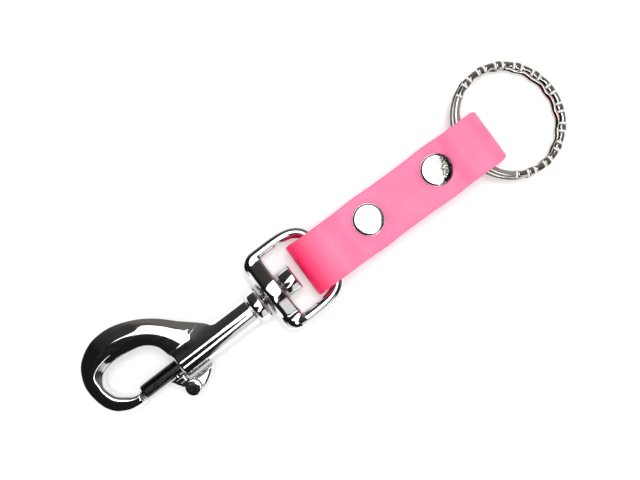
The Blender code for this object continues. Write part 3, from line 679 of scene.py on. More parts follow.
def eye_field(x, y, z):
    """The eye's solid, as a field that is negative inside."""
    bow = np.sqrt(line_distance(x, y - EYE_SIDE, bow_line, True) ** 2 + z * z) - EYE_WIRE_RADIUS
    tall = np.interp(y, eye_heights[:, 0], eye_heights[:, 1]) - EYE_BAR_CROWN * (x - EYE_BAR_X) ** 2
    end_x, end_y = x - EYE_END_PLACE[0], y - EYE_END_PLACE[1]
    end_curve = np.where(end_y > 0.0, EYE_END_CURVE_IN, EYE_END_CURVE_OUT)
    tall = np.maximum(tall, EYE_END_RISE - EYE_END_CURVE_X * end_x ** 2 - end_curve * end_y ** 2)
    right = eased((x - EYE_BAR_X) / EYE_SIDE_CHANGE + 0.5)
    rounding = EYE_LEFT_ROUND + (EYE_RIGHT_ROUND - EYE_LEFT_ROUND) * right
    draft = EYE_LEFT_DRAFT + (EYE_RIGHT_DRAFT - EYE_LEFT_DRAFT) * right
    end_side = np.maximum(np.abs(y) - EYE_BAR_END + EYE_BAR_END_ROUND, 0.0)
    end_back = np.maximum(EYE_BAR_X - EYE_BAR_HALF + EYE_BAR_END_ROUND - x, 0.0)
    outline = np.maximum(np.abs(x - EYE_BAR_X) - EYE_BAR_HALF,
                         np.sqrt(end_side ** 2 + end_back ** 2) - EYE_BAR_END_ROUND)
    above = np.abs(z) - tall
    outline = outline + draft * np.minimum(np.abs(z), EYE_DRAFT_HEIGHT)
    bar = edged(outline, above, np.minimum(rounding, np.maximum(tall, EYE_THIN) * EYE_ROUND_SHARE))
    around = np.sqrt(y * y + z * z)
    neck = np.maximum(around - EYE_NECK_RADIUS, np.abs(x - EYE_BAR_X + EYE_BAR_HALF) - EYE_NECK_REACH)
    body = blended(blended(bow, bar, EYE_BOW_FILLET), neck, EYE_NECK_FILLET)
    hole = np.maximum(around - EYE_HOLE_RADIUS,
                      np.abs(x - EYE_BAR_X) - EYE_BAR_HALF - EYE_NECK_REACH - EYE_HOLE_OVERRUN)
    return cut_by(body, hole, EYE_HOLE_EDGE)


eye_chrome = chrome_material("eye_chrome", (0.80, 0.80, 0.80), 0.055)
eye = cast("eye_casting", eye_field, EYE_CAST_BOX, eye_chrome)
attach(eye, "eye")
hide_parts("swivel_eye")

# The swivel rivet is a turned steel pin. Its head turns inside the eye against the pierced bar, and its
# shank is pressed into the rear of the barrel.
HEAD_RADIUS = 4.1
HEAD_LENGTH = 4.2
HEAD_FACE_X = EYE_BAR_X + 3.5
SHANK_RADIUS = 2.1
SHANK_END_X = -27.6
HEAD_FRONT_ROUND, HEAD_BACK_ROUND = 0.6, 0.3
SHANK_ROOT_ROUND, SHANK_END_ROUND = 0.2, 0.3


def pin_end(radius, end_x, rounding, side, steps=8):
    """The rounded edge at an end of a pin; side 1 is its forward end, and -1 its rear end."""
    start = 90 if side > 0 else 0
    return arc(radius - rounding, end_x - side * rounding, rounding, start, start - 90, steps)


def turned_pin(name, profile, material):
    """A turned piece that lies along the snap's axis."""
    places, faces = turned(profile)
    obj = mesh_object(name, places[:, [2, 0, 1]], faces, material)
    obj.data.transform(hook_matrix)
    return obj


rivet_profile = [(0.0, HEAD_FACE_X + HEAD_LENGTH)]
rivet_profile += pin_end(HEAD_RADIUS, HEAD_FACE_X + HEAD_LENGTH, HEAD_FRONT_ROUND, 1)
rivet_profile += pin_end(HEAD_RADIUS, HEAD_FACE_X, HEAD_BACK_ROUND, -1, 5)
rivet_profile += arc(SHANK_RADIUS + SHANK_ROOT_ROUND, HEAD_FACE_X - SHANK_ROOT_ROUND, SHANK_ROOT_ROUND,
                     90, 180, 4)
rivet_profile += pin_end(SHANK_RADIUS, SHANK_END_X, SHANK_END_ROUND, -1, 4) + [(0.0, SHANK_END_X)]
pin_chrome = chrome_material("pin_chrome", (0.76, 0.76, 0.765), 0.07)
swivel_pin = turned_pin("swivel_pin", rivet_profile, pin_chrome)
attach(swivel_pin, "hook")
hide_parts("swivel_rivet")

# The snap's body is one chromed zinc casting: a round barrel with a collar behind it, and a flat-sided
# hook that grows out of the barrel through a crowned web and curls round to a nose.
# It is bored for the bolt and slotted for the thumb knob.
MOUTH_X = -49.2
BARREL_RADIUS = 4.45
BARREL_REAR_X = -23.9
BARREL_THIN = 0.2
COLLAR_FRONT_X, COLLAR_REAR_X = -23.5, -20.0
COLLAR_RADIUS = 5.2
COLLAR_ROUND, COLLAR_CROWN, COLLAR_FILLET = 0.8, 0.02, 0.15
GROOVE_RADIUS = 3.75
NECK_MIDDLE_X, NECK_HALF = -23.7, 1.2
MOUTH_CHAMFER, DIAGONAL = 0.5, 1.414
MOUTH_OVERRUN = 1.5
OPENING_EDGE = 0.25
BORE_RADIUS = 2.4
BORE_END_X = -29.2
SHANK_HOLE_RADIUS = 2.4
SHANK_HOLE_END_X = -27.9
SLOT_HALF = 1.4
SLOT_END_X = -39.2
HOOK_SPAN = 25.2
HOOK_RISE = 21.1
NOSE_X = -62.3
HOOK_HALF_THICK = 3.35
WEB_SEAT = 3.1
OUTER_OUTLINE_SHARES = (
    (-0.611, 0.07), (-0.548, 0.17), (-0.476, 0.278), (-0.298, 0.481), (-0.139, 0.675), (0.02, 0.821),
    (0.179, 0.92), (0.337, 0.982), (0.496, 1.0), (0.655, 0.976), (0.813, 0.882), (0.917, 0.76),
    (0.988, 0.573), (1.0, 0.384), (0.965, 0.17), (0.89, 0.02), (0.79, -0.065), (0.70, -0.108),
    (0.60, -0.125),
)
INNER_OUTLINE_SHARES = (
    (0.60, 0.05), (0.69, 0.12), (0.76, 0.204), (0.794, 0.346), (0.77, 0.445), (0.698, 0.52),
    (0.544, 0.557), (0.333, 0.531), (0.183, 0.479), (0.075, 0.36), (0.034, 0.213),
)
NOSE_SHARES = (-0.125, 0.031)
NOSE_SEAT_RADIUS, NOSE_SEAT_DEPTH, NOSE_SEAT_OVERRUN = 1.7, 0.7, 1.0
HOOK_WEB_WIDTH = 10.5
HOOK_LIMB_SHARE = 0.45
HOOK_EDGE_ROUND = 0.8
CROWN_TILTS = ((-6.0, 17.8), (0.0, 18.2), (1.6, 19.0), (2.2, 14.5), (4.3, 3.0), (5.2, -0.6), (9.5, -2.5))
RIDGE_TILTS = ((-6.0, 17.0), (1.6, 17.0), (3.9, 14.5), (4.2, 3.0), (4.4, -0.6), (9.5, -2.5))
RIDGE_REACH_X = (-56.0, -52.6)
SHOULDER_REACH, SHOULDER_FALL = 1.6, 0.174
FOOT_EDGE_X = -38.9
FOOT_ROUND = 2.2
SHOULDER_END_X = (-53.0, -38.0)
WEB_FILLET, FOOT_FILLET = 1.3, 2.6
FILLET_REACH_X = (-45.0, -36.0)
CROWN_SPAN, CROWN_COUNT = (-9.0, 12.0), 211
CHAMFER_TILT = radians(25)
CHAMFER_WIDTH = 1.4
CHAMFER_START_Y, CHAMFER_FADE = 8.0, 4.0
HOOK_CAST_BOX = ((-76.0, -6.2, -5.8), (-19.4, 22.0, 5.8))


def spot(shares):
    """A place on the hook from shares of its span and rise."""
    return MOUTH_X - shares[0] * HOOK_SPAN, shares[1] * HOOK_RISE


def depth_inside(x, y, outline):
    """How deep each place lies inside a closed outline; negative outside."""
    inside = np.zeros(np.broadcast(x, y).shape, bool)
    for (ax, ay), (bx, by) in zip(outline, outline[1:] + outline[:1]):
        if ay != by:
            inside ^= ((ay > y) != (by > y)) & (x < (bx - ax) * (y - ay) / (by - ay) + ax)
    far = line_distance(x, y, outline, True)
    return np.where(inside, far, -far)


outer_line = rounded_line([spot(s) for s in OUTER_OUTLINE_SHARES] + [(NOSE_X, NOSE_SHARES[0] * HOOK_RISE)])
inner_line = rounded_line([(NOSE_X, NOSE_SHARES[1] * HOOK_RISE)] + [spot(s) for s in INNER_OUTLINE_SHARES]
                          + [(MOUTH_X, WEB_SEAT)])
hook_outline = outer_line + inner_line
crown_steps = np.linspace(*CROWN_SPAN, CROWN_COUNT)


def fall_line(tilts):
    """How far a crowned face has fallen at each step in from its edge, from its slopes in degrees."""
    places, degrees = np.array(tilts).T
    slopes = np.tan(np.radians(np.interp(crown_steps, places, degrees)))
    return np.cumsum(slopes[::-1])[::-1] * (crown_steps[1] - crown_steps[0])


crown_falls, ridge_falls = fall_line(CROWN_TILTS), fall_line(RIDGE_TILTS)


def hook_field(x, y, z):
    """The casting's solid, as a field that is negative inside."""
    depth = depth_inside(x, y, hook_outline)
    from_outer, from_inner = line_distance(x, y, outer_line), line_distance(x, y, inner_line)
    local = np.clip((from_outer + from_inner) / HOOK_WEB_WIDTH, HOOK_LIMB_SHARE, 1.0)
    from_edge = (blended(from_outer, FOOT_EDGE_X - x, FOOT_ROUND) - HOOK_EDGE_ROUND) / local
    ridge = np.interp(x, RIDGE_REACH_X, (1.0, 0.0))
    crown = local * (ridge * np.interp(from_edge, crown_steps, ridge_falls)
                     + (1.0 - ridge) * np.interp(from_edge, crown_steps, crown_falls))
    shoulder = np.maximum(SHOULDER_REACH - (from_outer - HOOK_EDGE_ROUND) / local, 0.0)
    crown = crown + local * SHOULDER_FALL * shoulder ** 2 * np.interp(x, SHOULDER_END_X, (1.0, 0.0))
    on_top = eased((y - CHAMFER_START_Y) / CHAMFER_FADE)
    chamfer = tan(CHAMFER_TILT) * np.maximum(HOOK_EDGE_ROUND + CHAMFER_WIDTH * on_top - from_inner, 0.0)
    top = HOOK_HALF_THICK - crown - chamfer
    plate = edged(-depth, np.abs(z) - top, HOOK_EDGE_ROUND)

    across = np.sqrt(y * y + z * z)
    share = (x - MOUTH_X) / (BARREL_REAR_X - MOUTH_X)
    barrel = np.maximum(across - BARREL_RADIUS + BARREL_THIN * share,
                        np.maximum(MOUTH_X - x, x - BARREL_REAR_X))
    barrel = np.maximum(barrel, (across - BARREL_RADIUS + MOUTH_CHAMFER + MOUTH_X - x) / DIAGONAL)
    body = blended(plate, barrel, np.interp(x, FILLET_REACH_X, (WEB_FILLET, FOOT_FILLET)))
    neck = np.maximum(across - GROOVE_RADIUS, np.abs(x - NECK_MIDDLE_X) - NECK_HALF)
    middle = (COLLAR_FRONT_X + COLLAR_REAR_X) / 2
    half = (COLLAR_REAR_X - COLLAR_FRONT_X) / 2
    ring = np.sqrt(np.maximum(across - COLLAR_RADIUS + COLLAR_ROUND, 0.0) ** 2
                   + np.maximum(np.abs(x - middle) - half + COLLAR_ROUND, 0.0) ** 2) - COLLAR_ROUND
    ring = np.maximum(ring, across - COLLAR_RADIUS + COLLAR_CROWN * (x - middle) ** 2)
    body = blended(np.minimum(body, neck), ring, COLLAR_FILLET)

    before_mouth = MOUTH_X - MOUTH_OVERRUN - x
    bore = np.maximum(np.maximum(across - BORE_RADIUS, x - BORE_END_X), before_mouth)
    shank = np.maximum(across - SHANK_HOLE_RADIUS, SHANK_HOLE_END_X - x)
    slot = np.maximum(np.maximum(np.abs(z) - SLOT_HALF, y), np.maximum(x - SLOT_END_X, before_mouth))
    nose_seat = np.maximum(across - NOSE_SEAT_RADIUS, NOSE_X - NOSE_SEAT_DEPTH - x)
    nose_seat = np.maximum(nose_seat, x - NOSE_X - NOSE_SEAT_OVERRUN)
    openings = np.minimum(np.minimum(bore, shank), np.minimum(slot, nose_seat))
    return cut_by(body, openings, OPENING_EDGE)


hook_chrome = chrome_material("hook_chrome", (0.80, 0.80, 0.80), 0.05, 0.012)
hook = cast("hook_casting", hook_field, HOOK_CAST_BOX, hook_chrome)
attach(hook, "hook")
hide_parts("hook_body")

# The bolt is a turned, chromed steel pin that closes the hook. Its rear end runs in the barrel, against
# the spring, and the knob's spigot reaches into it; the pin is left solid.
BOLT_RADIUS = 2.0
BOLT_TIP_X = NOSE_X + 0.3
BOLT_REAR_X = MOUTH_X + 5.0
BOLT_REAR_ROUND, BOLT_TIP_ROUND = 0.3, 0.45

bolt_profile = [(0.0, BOLT_REAR_X)] + pin_end(BOLT_RADIUS, BOLT_REAR_X, BOLT_REAR_ROUND, 1, 5)
bolt_profile += [(BOLT_RADIUS, x) for x in np.linspace(BOLT_REAR_X - 1.0, BOLT_TIP_X + 1.2, 30)]
bolt_profile += pin_end(BOLT_RADIUS, BOLT_TIP_X, BOLT_TIP_ROUND, -1, 7) + [(0.0, BOLT_TIP_X)]
# The bolt is coloured near black and rough, so it shows no bright streak.
bolt_steel = chrome_material("bolt_steel", (0.06, 0.056, 0.052), 0.26)
bolt = turned_pin("bolt_pin", bolt_profile, bolt_steel)
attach(bolt, "bolt")
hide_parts("bolt")

# The thumb knob is a small chromed casting. A thin stem reaches through the barrel's slot to the bolt,
# and the pad beside the barrel ends in a round button at its front.
KNOB_FACE_Y = -4.85
KNOB_HALF_THICK = 3.0
KNOB_OUTLINE = (
    (-52.4, -4.85), (-51.9, -6.2), (-51.3, -7.9), (-50.2, -9.1), (-48.6, -9.4), (-46.6, -8.9),
    (-44.4, -7.8), (-42.3, -6.2), (-41.6, -5.3), (-41.9, -4.85),
)
BUTTON_PLACE = (-49.6, -7.2)
BUTTON_RADIUS = 2.35
BUTTON_TOP = 3.3
BUTTON_CROWN = 0.008
BUTTON_EDGE_ROUND = 0.25
BUTTON_FILLET = 0.2
PAD_EDGE_ROUND = 1.1
PAD_DROP, PAD_SLOPE = 0.55, 0.09
PAD_SLOPE_START, PAD_SLOPE_LENGTH = 1.0, 5.0
RIB_START, RIB_EDGE, RIB_RISE = 0.7, 0.4, 0.45
STEM_FILLET = 0.5
STEM_MIDDLE_X = MOUTH_X - 2.6
SPIGOT_RADIUS = 0.8
SPIGOT_LOW_Y, SPIGOT_HIGH_Y = -3.0, -0.8
STEM_HALF = 1.0
STEM_EDGE_ROUND = 0.8
STEM_OUTLINE = [(-54.3, -2.35), (-52.4, -5.9), (-49.6, -5.9), (-49.6, -2.35)]
KNOB_CAST_BOX = ((-55.5, -10.3, -3.8), (-40.6, 0.0, 3.8))
KNOB_CELL = 0.2

knob_outline = rounded_line(KNOB_OUTLINE, 4)


def knob_field(x, y, z):
    """The knob's solid, as a field that is negative inside."""
    depth = depth_inside(x, y, knob_outline)
    from_face = KNOB_FACE_Y - y
    rib = eased(1.0 - (from_face - RIB_START) / RIB_EDGE)
    slope = PAD_SLOPE * np.clip(from_face - PAD_SLOPE_START, 0.0, PAD_SLOPE_LENGTH)
    pad = edged(-depth, np.abs(z) - (KNOB_HALF_THICK - PAD_DROP + slope + RIB_RISE * rib), PAD_EDGE_ROUND)
    off = np.sqrt((x - BUTTON_PLACE[0]) ** 2 + (y - BUTTON_PLACE[1]) ** 2)
    button = edged(off - BUTTON_RADIUS, np.abs(z) - BUTTON_TOP + BUTTON_CROWN * off ** 2, BUTTON_EDGE_ROUND)
    body = blended(pad, button, BUTTON_FILLET)
    stem = edged(-depth_inside(x, y, STEM_OUTLINE), np.abs(z) - STEM_HALF, STEM_EDGE_ROUND)
    body = blended(body, stem, STEM_FILLET)
    spigot = np.sqrt((x - STEM_MIDDLE_X) ** 2 + z * z) - SPIGOT_RADIUS
    spigot = np.maximum(spigot, np.maximum(y - SPIGOT_HIGH_Y, SPIGOT_LOW_Y - y))
    return np.minimum(body, spigot)


knob_chrome = chrome_material("knob_chrome", (0.80, 0.80, 0.80), 0.06, 0.06)
knob = cast("knob_casting", knob_field, KNOB_CAST_BOX, knob_chrome, KNOB_CELL)
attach(knob, "bolt")
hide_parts("thumb_knob")

# The spring is hard-drawn steel wire, coiled to fit the bore behind the bolt. It keeps the bolt against
# the nose, and it is pushed together when the knob is drawn back.
SPRING_RADIUS = 1.65
SPRING_WIRE_RADIUS = 0.25
SPRING_TURNS = 8.0
SPRING_END_PLAY = 0.55
SPRING_START_X = BOLT_REAR_X + SPRING_END_PLAY
SPRING_END_X = BORE_END_X - SPRING_END_PLAY


def spring_wire():
    """A helix along Z, laid along the bore."""
    tree = Tree("spring_wire", {"Turns": SPRING_TURNS, "Radius": SPRING_RADIUS * MM,
                                "Length": (SPRING_END_X - SPRING_START_X) * MM,
                                "Wire Radius": SPRING_WIRE_RADIUS * MM})
    helix = tree.add("GeometryNodeCurveSpiral", {"Resolution": 40, "Rotations": tree.size("Turns"),
                                                 "Start Radius": tree.size("Radius"),
                                                 "End Radius": tree.size("Radius"),
                                                 "Height": tree.size("Length")})
    wire = tree.add("GeometryNodeCurvePrimitiveCircle",
                    {"Resolution": 12, "Radius": tree.size("Wire Radius")}, mode='RADIUS')
    tube = tree.add("GeometryNodeCurveToMesh", {"Curve": helix.outputs[0], "Profile Curve": wire.outputs[0],
                                                "Fill Caps": True})
    return tree.grow("spring_wire", tube.outputs[0], spring_material)


spring_material, spring_shader, spring_place = plain_material("spring_steel", (0.42, 0.42, 0.44), 0.3, 1.0)
drawn = ranged(spring_material, noise(spring_material, spring_place, 0.3, 3.0), 0.3, 0.7, 0.22, 0.4)
wired(spring_shader, {"Roughness": drawn})
spring = spring_wire()
spring.data.transform(hook_matrix @ Matrix.Translation((SPRING_START_X * MM, 0, 0))
                      @ Matrix.Rotation(pi / 2, 4, 'Y'))
faced_out(spring.data)
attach(spring, "hook")
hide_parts("bolt_spring")
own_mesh(spring)

# The split ring is nickel-plated steel wire, flat-sided, wound twice round with one step between the
# coils. Dimples are pressed into it all round, except near the strap, and it is worn a little oval.
RING_PLACE = (23.1, 0.0, AXIS_Z)
RING_TILT = radians(7.75)
RING_LENGTH, RING_WIDTH = 31.8, 33.7
RING_WIRE_WIDTH = 2.1
RING_COIL_HEIGHT = 1.2
RING_COIL_GAP = 0.4
RING_COIL_SHIFT = 0.7
RING_PIVOT_INSET = 1.1
RING_BEND_START = radians(157)
RING_BEND_ARC = radians(30)
RING_END_GAP = radians(3)
RING_STATIONS = 1400
WIRE_SIDES = 28
WIRE_DOME, WIRE_POWER = 0.55, 0.8
DIMPLE_ARC = radians(21)
DIMPLE_REACH, DIMPLE_FADE = radians(124), radians(1.5)
GROOVE_DEPTH, GROOVE_SIDE_SHARE = 0.22, 0.4
GROOVE_HALF_SHARE = 0.12
GROOVE_SHARES = (0.30, 0.70)
GROOVE_INNER_END = (-0.95, -0.7)
BLOCK_SWELL = 0.2
INNER_WAVE = 0.16
WORN_ARC, WORN_FADE = (radians(-46), radians(14)), 0.1
WORN_SLOPE = 0.2
# The plain stretch's pale share is a painted highlight.
PLAIN_HIGHLIGHT = 0.37
HAZE_HIGHLIGHT_START, HAZE_HIGHLIGHT_FULL = 0.25, 0.75
RING_COLOR = (0.70, 0.67, 0.63)
# Pale, less metallic colour of the painted highlight in the grooves and on the plain stretch.
HAZE_HIGHLIGHT_COLOR = (0.96, 0.95, 0.93)


def ring_wire():
    """The wire's two coils: a tube whose points are set out from where they lie along and round it."""
    tree = Tree("ring_wire", {"Length": RING_LENGTH * MM, "Width": RING_WIDTH * MM,
                              "Wire Width": RING_WIRE_WIDTH * MM, "Coil Height": RING_COIL_HEIGHT * MM,
                              "Coil Gap": RING_COIL_GAP * MM, "Coil Shift": RING_COIL_SHIFT * MM,
                              "Groove Depth": GROOVE_DEPTH * MM, "Block Swell": BLOCK_SWELL * MM,
                              "Inner Wave": INNER_WAVE * MM})

    def eased_between(value, low, high, to_low=0.0, to_high=1.0):
        node = tree.add("ShaderNodeMapRange", {0: value, 1: low, 2: high, 3: to_low, 4: to_high},
                        interpolation_type='SMOOTHSTEP')
        return Field(tree, node.outputs[0])

    def stored(geometry, name, value, kind='FLOAT_VECTOR'):
        inputs = {"Geometry": geometry, "Name": name, "Value": value}
        return tree.add("GeometryNodeStoreNamedAttribute", inputs, data_type=kind).outputs[0]

    def parts_of(name):
        read = tree.add("GeometryNodeInputNamedAttribute", {"Name": name}, data_type='FLOAT_VECTOR')
        return [Field(tree, out) for out in tree.add("ShaderNodeSeparateXYZ", {0: read.outputs[0]}).outputs]

    start = RING_BEND_START + RING_BEND_ARC - 2 * pi + RING_END_GAP
    whole = 4 * pi - RING_BEND_ARC - 2 * RING_END_GAP
    share = Field(tree, tree.add("GeometryNodeSplineParameter").outputs["Factor"])
    angle = share * whole + start
    rise = eased_between(angle, RING_BEND_START, RING_BEND_START + RING_BEND_ARC, -0.5, 0.5)
    reach_x = (tree.size("Length") - tree.size("Wire Width")) * 0.5
    reach_y = (tree.size("Width") - tree.size("Wire Width")) * 0.5
    across, up = tree.math('COSINE', angle), tree.math('SINE', angle)
    middle = tree.vector(reach_x * across + rise * tree.size("Coil Shift"), reach_y * up,
                         rise * (tree.size("Coil Height") + tree.size("Coil Gap")))
    outward = tree.add("ShaderNodeVectorMath", {0: tree.vector(reach_y * across, reach_x * up, 0.0)},
                       operation='NORMALIZE').outputs[0]
    from_strap = tree.math('WRAP', angle, pi, -pi)
    phase = tree.math('FRACT', from_strap / DIMPLE_ARC + 0.5)
    live = eased_between(tree.math('ABSOLUTE', from_strap), DIMPLE_REACH, DIMPLE_REACH - DIMPLE_FADE)
    grooves = [eased_between(tree.math('ABSOLUTE', phase - place), GROOVE_HALF_SHARE, 0.0)
               for place in GROOVE_SHARES]
    groove = (grooves[0] + grooves[1]) * live
    block_half = GROOVE_SHARES[1] - 0.5
    block = eased_between(tree.math('ABSOLUTE', phase - 0.5), block_half, block_half - GROOVE_HALF_SHARE)
    wave = tree.math('COSINE', phase * (2 * pi)) * live

    line = tree.add("GeometryNodeCurvePrimitiveLine").outputs[0]
    path = tree.add("GeometryNodeResampleCurve", {"Curve": line, "Count": RING_STATIONS}).outputs[0]
    path = stored(path, "middle", middle)
    path = stored(path, "outward", outward)
    low, high = WORN_ARC
    worn = (eased_between(from_strap, low, low + WORN_FADE)
            * eased_between(from_strap, high, high - WORN_FADE))
    worn = worn * (block * -1.0 + 1.0)
    # Painted highlight: the plain stretch near the strap gets a pale share, carried in the second part of
    # the worn attribute.
    plain = (live * -1.0 + 1.0) * PLAIN_HIGHLIGHT
    path = stored(path, "pressed", tree.vector(groove * tree.math('SIGN', rise), block * live, wave))
    path = stored(path, "worn", tree.vector(worn, plain, 0.0))
    wire = tree.add("GeometryNodeCurvePrimitiveCircle", {"Resolution": WIRE_SIDES, "Radius": 1.0},
                    mode='RADIUS').outputs[0]
    wire = stored(wire, "section", tree.add("GeometryNodeInputPosition").outputs[0])
    tube = tree.add("GeometryNodeCurveToMesh",
                    {"Curve": path, "Profile Curve": wire, "Fill Caps": True}).outputs[0]

    side, top, _ = parts_of("section")
    groove, block, wave = parts_of("pressed")
    groove = tree.math('MAXIMUM', groove * tree.math('SIGN', top), 0.0)
    worn, plain, _ = parts_of("worn")
    squared = [tree.math('SIGN', part) * tree.math('POWER', tree.math('ABSOLUTE', part), WIRE_POWER)
               for part in (side, top)]
    outer = tree.math('GREATER_THAN', side, 0.0)
    swell = outer * (block * tree.size("Block Swell")
                     - groove * tree.size("Groove Depth") * GROOVE_SIDE_SHARE)
    inner = (outer * -1.0 + 1.0) * wave * tree.size("Inner Wave")
    reach = squared[0] * (tree.size("Wire Width") * 0.5) + swell + inner
    groove = groove * eased_between(side, *GROOVE_INNER_END)
    flat_half = tree.size("Coil Height") * 0.5 - groove * tree.size("Groove Depth")
    half = flat_half * (side * side * -WIRE_DOME + 1.0)
    lean = worn * side * tree.size("Wire Width") * (WORN_SLOPE / 2)
    out_x, out_y, _ = parts_of("outward")
    spot_x, spot_y, spot_z = parts_of("middle")
    place = tree.vector(spot_x + reach * out_x, spot_y + reach * out_y, spot_z + squared[1] * half + lean)
    shaped = tree.add("GeometryNodeSetPosition", {"Geometry": tube, "Position": place}).outputs[0]
    # The groove and plain-stretch share gives a rougher finish and a painted highlight.
    kept = stored(shaped, "haze_and_highlight", tree.math('MAXIMUM', groove, plain), 'FLOAT')
    for name in ("middle", "outward", "section", "pressed", "worn"):
        kept = tree.add("GeometryNodeRemoveAttribute", {"Geometry": kept, "Name": name}).outputs[0]
    return tree.grow("ring_wire", kept, ring_nickel)


def ring_material():
    """Nickel plating that is clear on the blocks, and rougher, paler and less metallic in the grooves and on
    the plain stretch: a rougher finish with a painted highlight.
    """
    material, shader, place = nickel_material("ring_plating", RING_COLOR, 0.12)
    haze_and_highlight = node_add(material, "ShaderNodeAttribute")
    haze_and_highlight.attribute_name = "haze_and_highlight"
    share = ranged(material, haze_and_highlight.outputs["Fac"], HAZE_HIGHLIGHT_START, HAZE_HIGHLIGHT_FULL, 0.0, 1.0)
    # Painted highlight: the share turns the colour pale and less metallic, as well as rougher.
    wired(shader, {
        "Base Color": mixed(material, share, (*RING_COLOR, 1), (*HAZE_HIGHLIGHT_COLOR, 1)),
        "Roughness": ranged(material, share, 0.0, 1.0, 0.12, 0.40),
        "Metallic": ranged(material, share, 0.0, 1.0, 1.0, 0.25)})
    return material


ring_nickel = ring_material()
split_ring = ring_wire()
ring_centre = (RING_LENGTH - RING_WIRE_WIDTH) / 2 - RING_PIVOT_INSET
split_ring.data.transform(Matrix.Translation(Vector(RING_PLACE) * MM) @ Matrix.Rotation(RING_TILT, 4, 'Y')
                          @ Matrix.Translation((ring_centre * MM, 0.0, 0.0)))
faced_out(split_ring.data)
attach(split_ring, "ring")
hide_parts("split_ring")

# The fob lies on a plain white sheet under one large soft box, with two plain lamps for the shadows.
# Angles are seen from the object, along the photograph's own width and height, and they say where the
# light stands in the sky.
IMAGE_TURN = radians(-36.3)
BOX_HEIGHT = 6.0
BOX_LEVEL = 3.2
BOX_CORNERS = ((-14.3, 26), (10, 26), (11, 0), (21, -38.5), (11.5, -38.5))
SHADE_CENTRE = (-20.5, -33.5)
SHADE_RADIUS = 31.8
SHADE_ARC, SHADE_POINTS = (0, 79), 14
SKY_LEVEL = 0.52
KEY_LEVEL = 1.08
KEY_TILT = radians(16)
KEY_SIDE = (0.95, 0.3)
FILL_LEVEL = 0.45
FILL_TILT = radians(58)
FILL_SIDE = (-0.97, 0.1)
CARD_SLANT = (6.5, -1.0)
CARD_EDGE, CARD_LOW_EDGE, CARD_SIDE_EDGE = (0.25, 0.31), (0.70, 0.78), (0.18, 0.28)
LIT_WALL = (0.957, 0.29)
LIT_STEPS, LIT_SHARES = (-0.2, 0.25, 0.5), (0.32, 0.68)
KEY_SPREAD, FILL_SPREAD = 30, 60
ROOM_DARK = (0.012, 0.012, 0.012)
ROOM_LIT = (0.165, 0.158, 0.148)
CARD_COLOR = (0.85, 0.84, 0.82)
SHEET_COLOR = (0.9, 0.9, 0.9)
SHEET_LIFT = 0.16
SHEET_REACH = 3.0
SHEET_PLAY = 0.02


def sky_place(across, up):
    """Where a direction in the photograph's angles meets the soft box's plane."""
    x, y = BOX_HEIGHT * tan(radians(across)), BOX_HEIGHT * tan(radians(up))
    return (x * cos(IMAGE_TURN) - y * sin(IMAGE_TURN), x * sin(IMAGE_TURN) + y * cos(IMAGE_TURN), BOX_HEIGHT)


def bare(holder):
    """A material or a world with its standard nodes taken out."""
    holder.use_nodes = True
    holder.node_tree.nodes.clear()
    return holder


def flat_face(name, points, material):
    """One flat face of the studio, from points in metres."""
    mesh = bpy.data.meshes.new(name)
    mesh.from_pydata(points, [], [tuple(range(len(points)))])
    mesh.materials.append(material)
    return placed(name, mesh)


box_points = [sky_place(*corner) for corner in BOX_CORNERS]
for turn in np.radians(np.linspace(*SHADE_ARC, SHADE_POINTS)):
    box_points.append(sky_place(SHADE_CENTRE[0] + SHADE_RADIUS * cos(turn),
                                SHADE_CENTRE[1] + SHADE_RADIUS * sin(turn)))
box_light = bare(bpy.data.materials.new("soft_box"))
glow = node_add(box_light, "ShaderNodeEmission", Color=(1, 1, 1, 1), Strength=BOX_LEVEL)
node_add(box_light, "ShaderNodeOutputMaterial", Surface=glow.outputs[0])
soft_box = flat_face("soft_box", box_points, box_light)
soft_box.visible_camera = False
soft_box.visible_shadow = False

sheet = bare(bpy.data.materials.new("white_sheet"))
white = node_add(sheet, "ShaderNodeBsdfDiffuse", Color=(*SHEET_COLOR, 1))
lift = node_add(sheet, "ShaderNodeEmission", Color=(1, 1, 1, 1), Strength=SHEET_LIFT)
path = node_add(sheet, "ShaderNodeLightPath")
seen = combined(sheet, 'MAXIMUM', path.outputs["Is Camera Ray"], path.outputs["Is Glossy Ray"])
shown = wired(node_add(sheet, "ShaderNodeMixShader"), {0: seen, 2: lift.outputs[0]})
whole = wired(node_add(sheet, "ShaderNodeAddShader"), {0: white.outputs[0], 1: shown.outputs[0]})
node_add(sheet, "ShaderNodeOutputMaterial", Surface=whole.outputs[0])
sheet_corners = [(side_x * SHEET_REACH, side_y * SHEET_REACH, (TABLE_Z - SHEET_PLAY) * MM)
                 for side_x, side_y in ((-1, -1), (1, -1), (1, 1), (-1, 1))]
floor = flat_face("floor", sheet_corners, sheet)

world = bpy.data.worlds.new("studio")
bpy.context.scene.world = bare(world)
world.cycles.sampling_method = 'NONE'
coordinate = node_add(world, "ShaderNodeTexCoord").outputs["Generated"]


def toward(side, low, high, to_low, to_high):
    """A value that changes with how far a direction of the room points to one side."""
    return ranged(world, distance_along(world, coordinate, (*side, 0.0)), low, high, to_low, to_high)


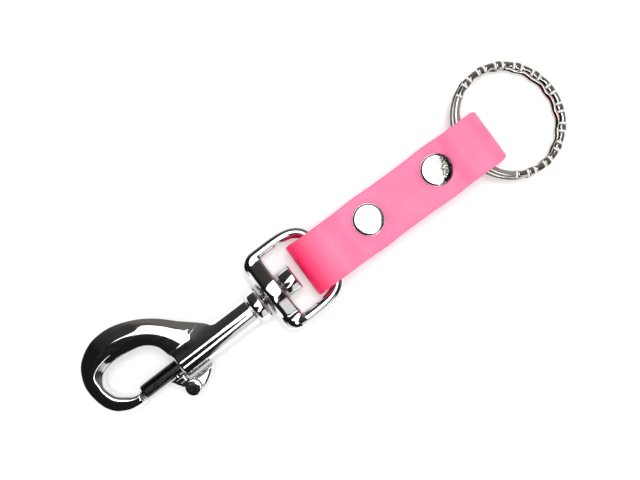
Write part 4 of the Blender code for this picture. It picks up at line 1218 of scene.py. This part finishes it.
card = combined(world, 'MULTIPLY', toward(CARD_SLANT, *CARD_EDGE, 0.0, 1.0),
                toward((0.0, -1.0), *CARD_LOW_EDGE, 0.0, 1.0))
near_card = combined(world, 'MULTIPLY', card, toward((1.0, 0.0), *CARD_SIDE_EDGE, 1.0, 0.0))
wall = combined(world, 'ADD', toward(LIT_WALL, *LIT_STEPS[:2], 0.0, LIT_SHARES[0]),
                toward(LIT_WALL, *LIT_STEPS[1:], 0.0, LIT_SHARES[1]))
room = mixed(world, wall, (*ROOM_DARK, 1), (*ROOM_LIT, 1))
room = mixed(world, near_card, room, (*CARD_COLOR, 1))
path = node_add(world, "ShaderNodeLightPath")
glossy_room = mixed(world, path.outputs["Is Glossy Ray"], (SKY_LEVEL, SKY_LEVEL, SKY_LEVEL, 1), room)
seen_room = mixed(world, path.outputs["Is Camera Ray"], glossy_room, (1, 1, 1, 1))
air = node_add(world, "ShaderNodeBackground", Color=seen_room, Strength=1.0)
node_add(world, "ShaderNodeOutputWorld", Surface=air.outputs[0])


def lamp(name, level, tilt, side, spread):
    """A plain lamp far away, whose light doesn't show in the metal."""
    data = bpy.data.lights.new(name, 'SUN')
    data.energy = level
    data.angle = radians(spread)
    obj = placed(name, data)
    toward_lamp = Vector((side[0] * sin(tilt), side[1] * sin(tilt), cos(tilt)))
    obj.rotation_euler = toward_lamp.to_track_quat('Z', 'Y').to_euler()
    obj.visible_glossy = False


lamp("key", KEY_LEVEL, KEY_TILT, KEY_SIDE, KEY_SPREAD)
lamp("fill", FILL_LEVEL, FILL_TILT, FILL_SIDE, FILL_SPREAD)

# The camera looks straight down from 0.29 m above the strap's front, turned so that the strap runs up
# to the right, as the photograph has it.
camera_data = bpy.data.cameras.new("camera")
camera_data.lens = 58.7
camera_data.clip_start = 0.01
camera = placed("camera", camera_data)
camera.location = (-0.0256, 0.0042, 0.287)
camera.rotation_euler = (0.0, 0.0, IMAGE_TURN)
bpy.context.scene.camera = camera
bpy.context.scene.view_settings.view_transform = 'Standard'
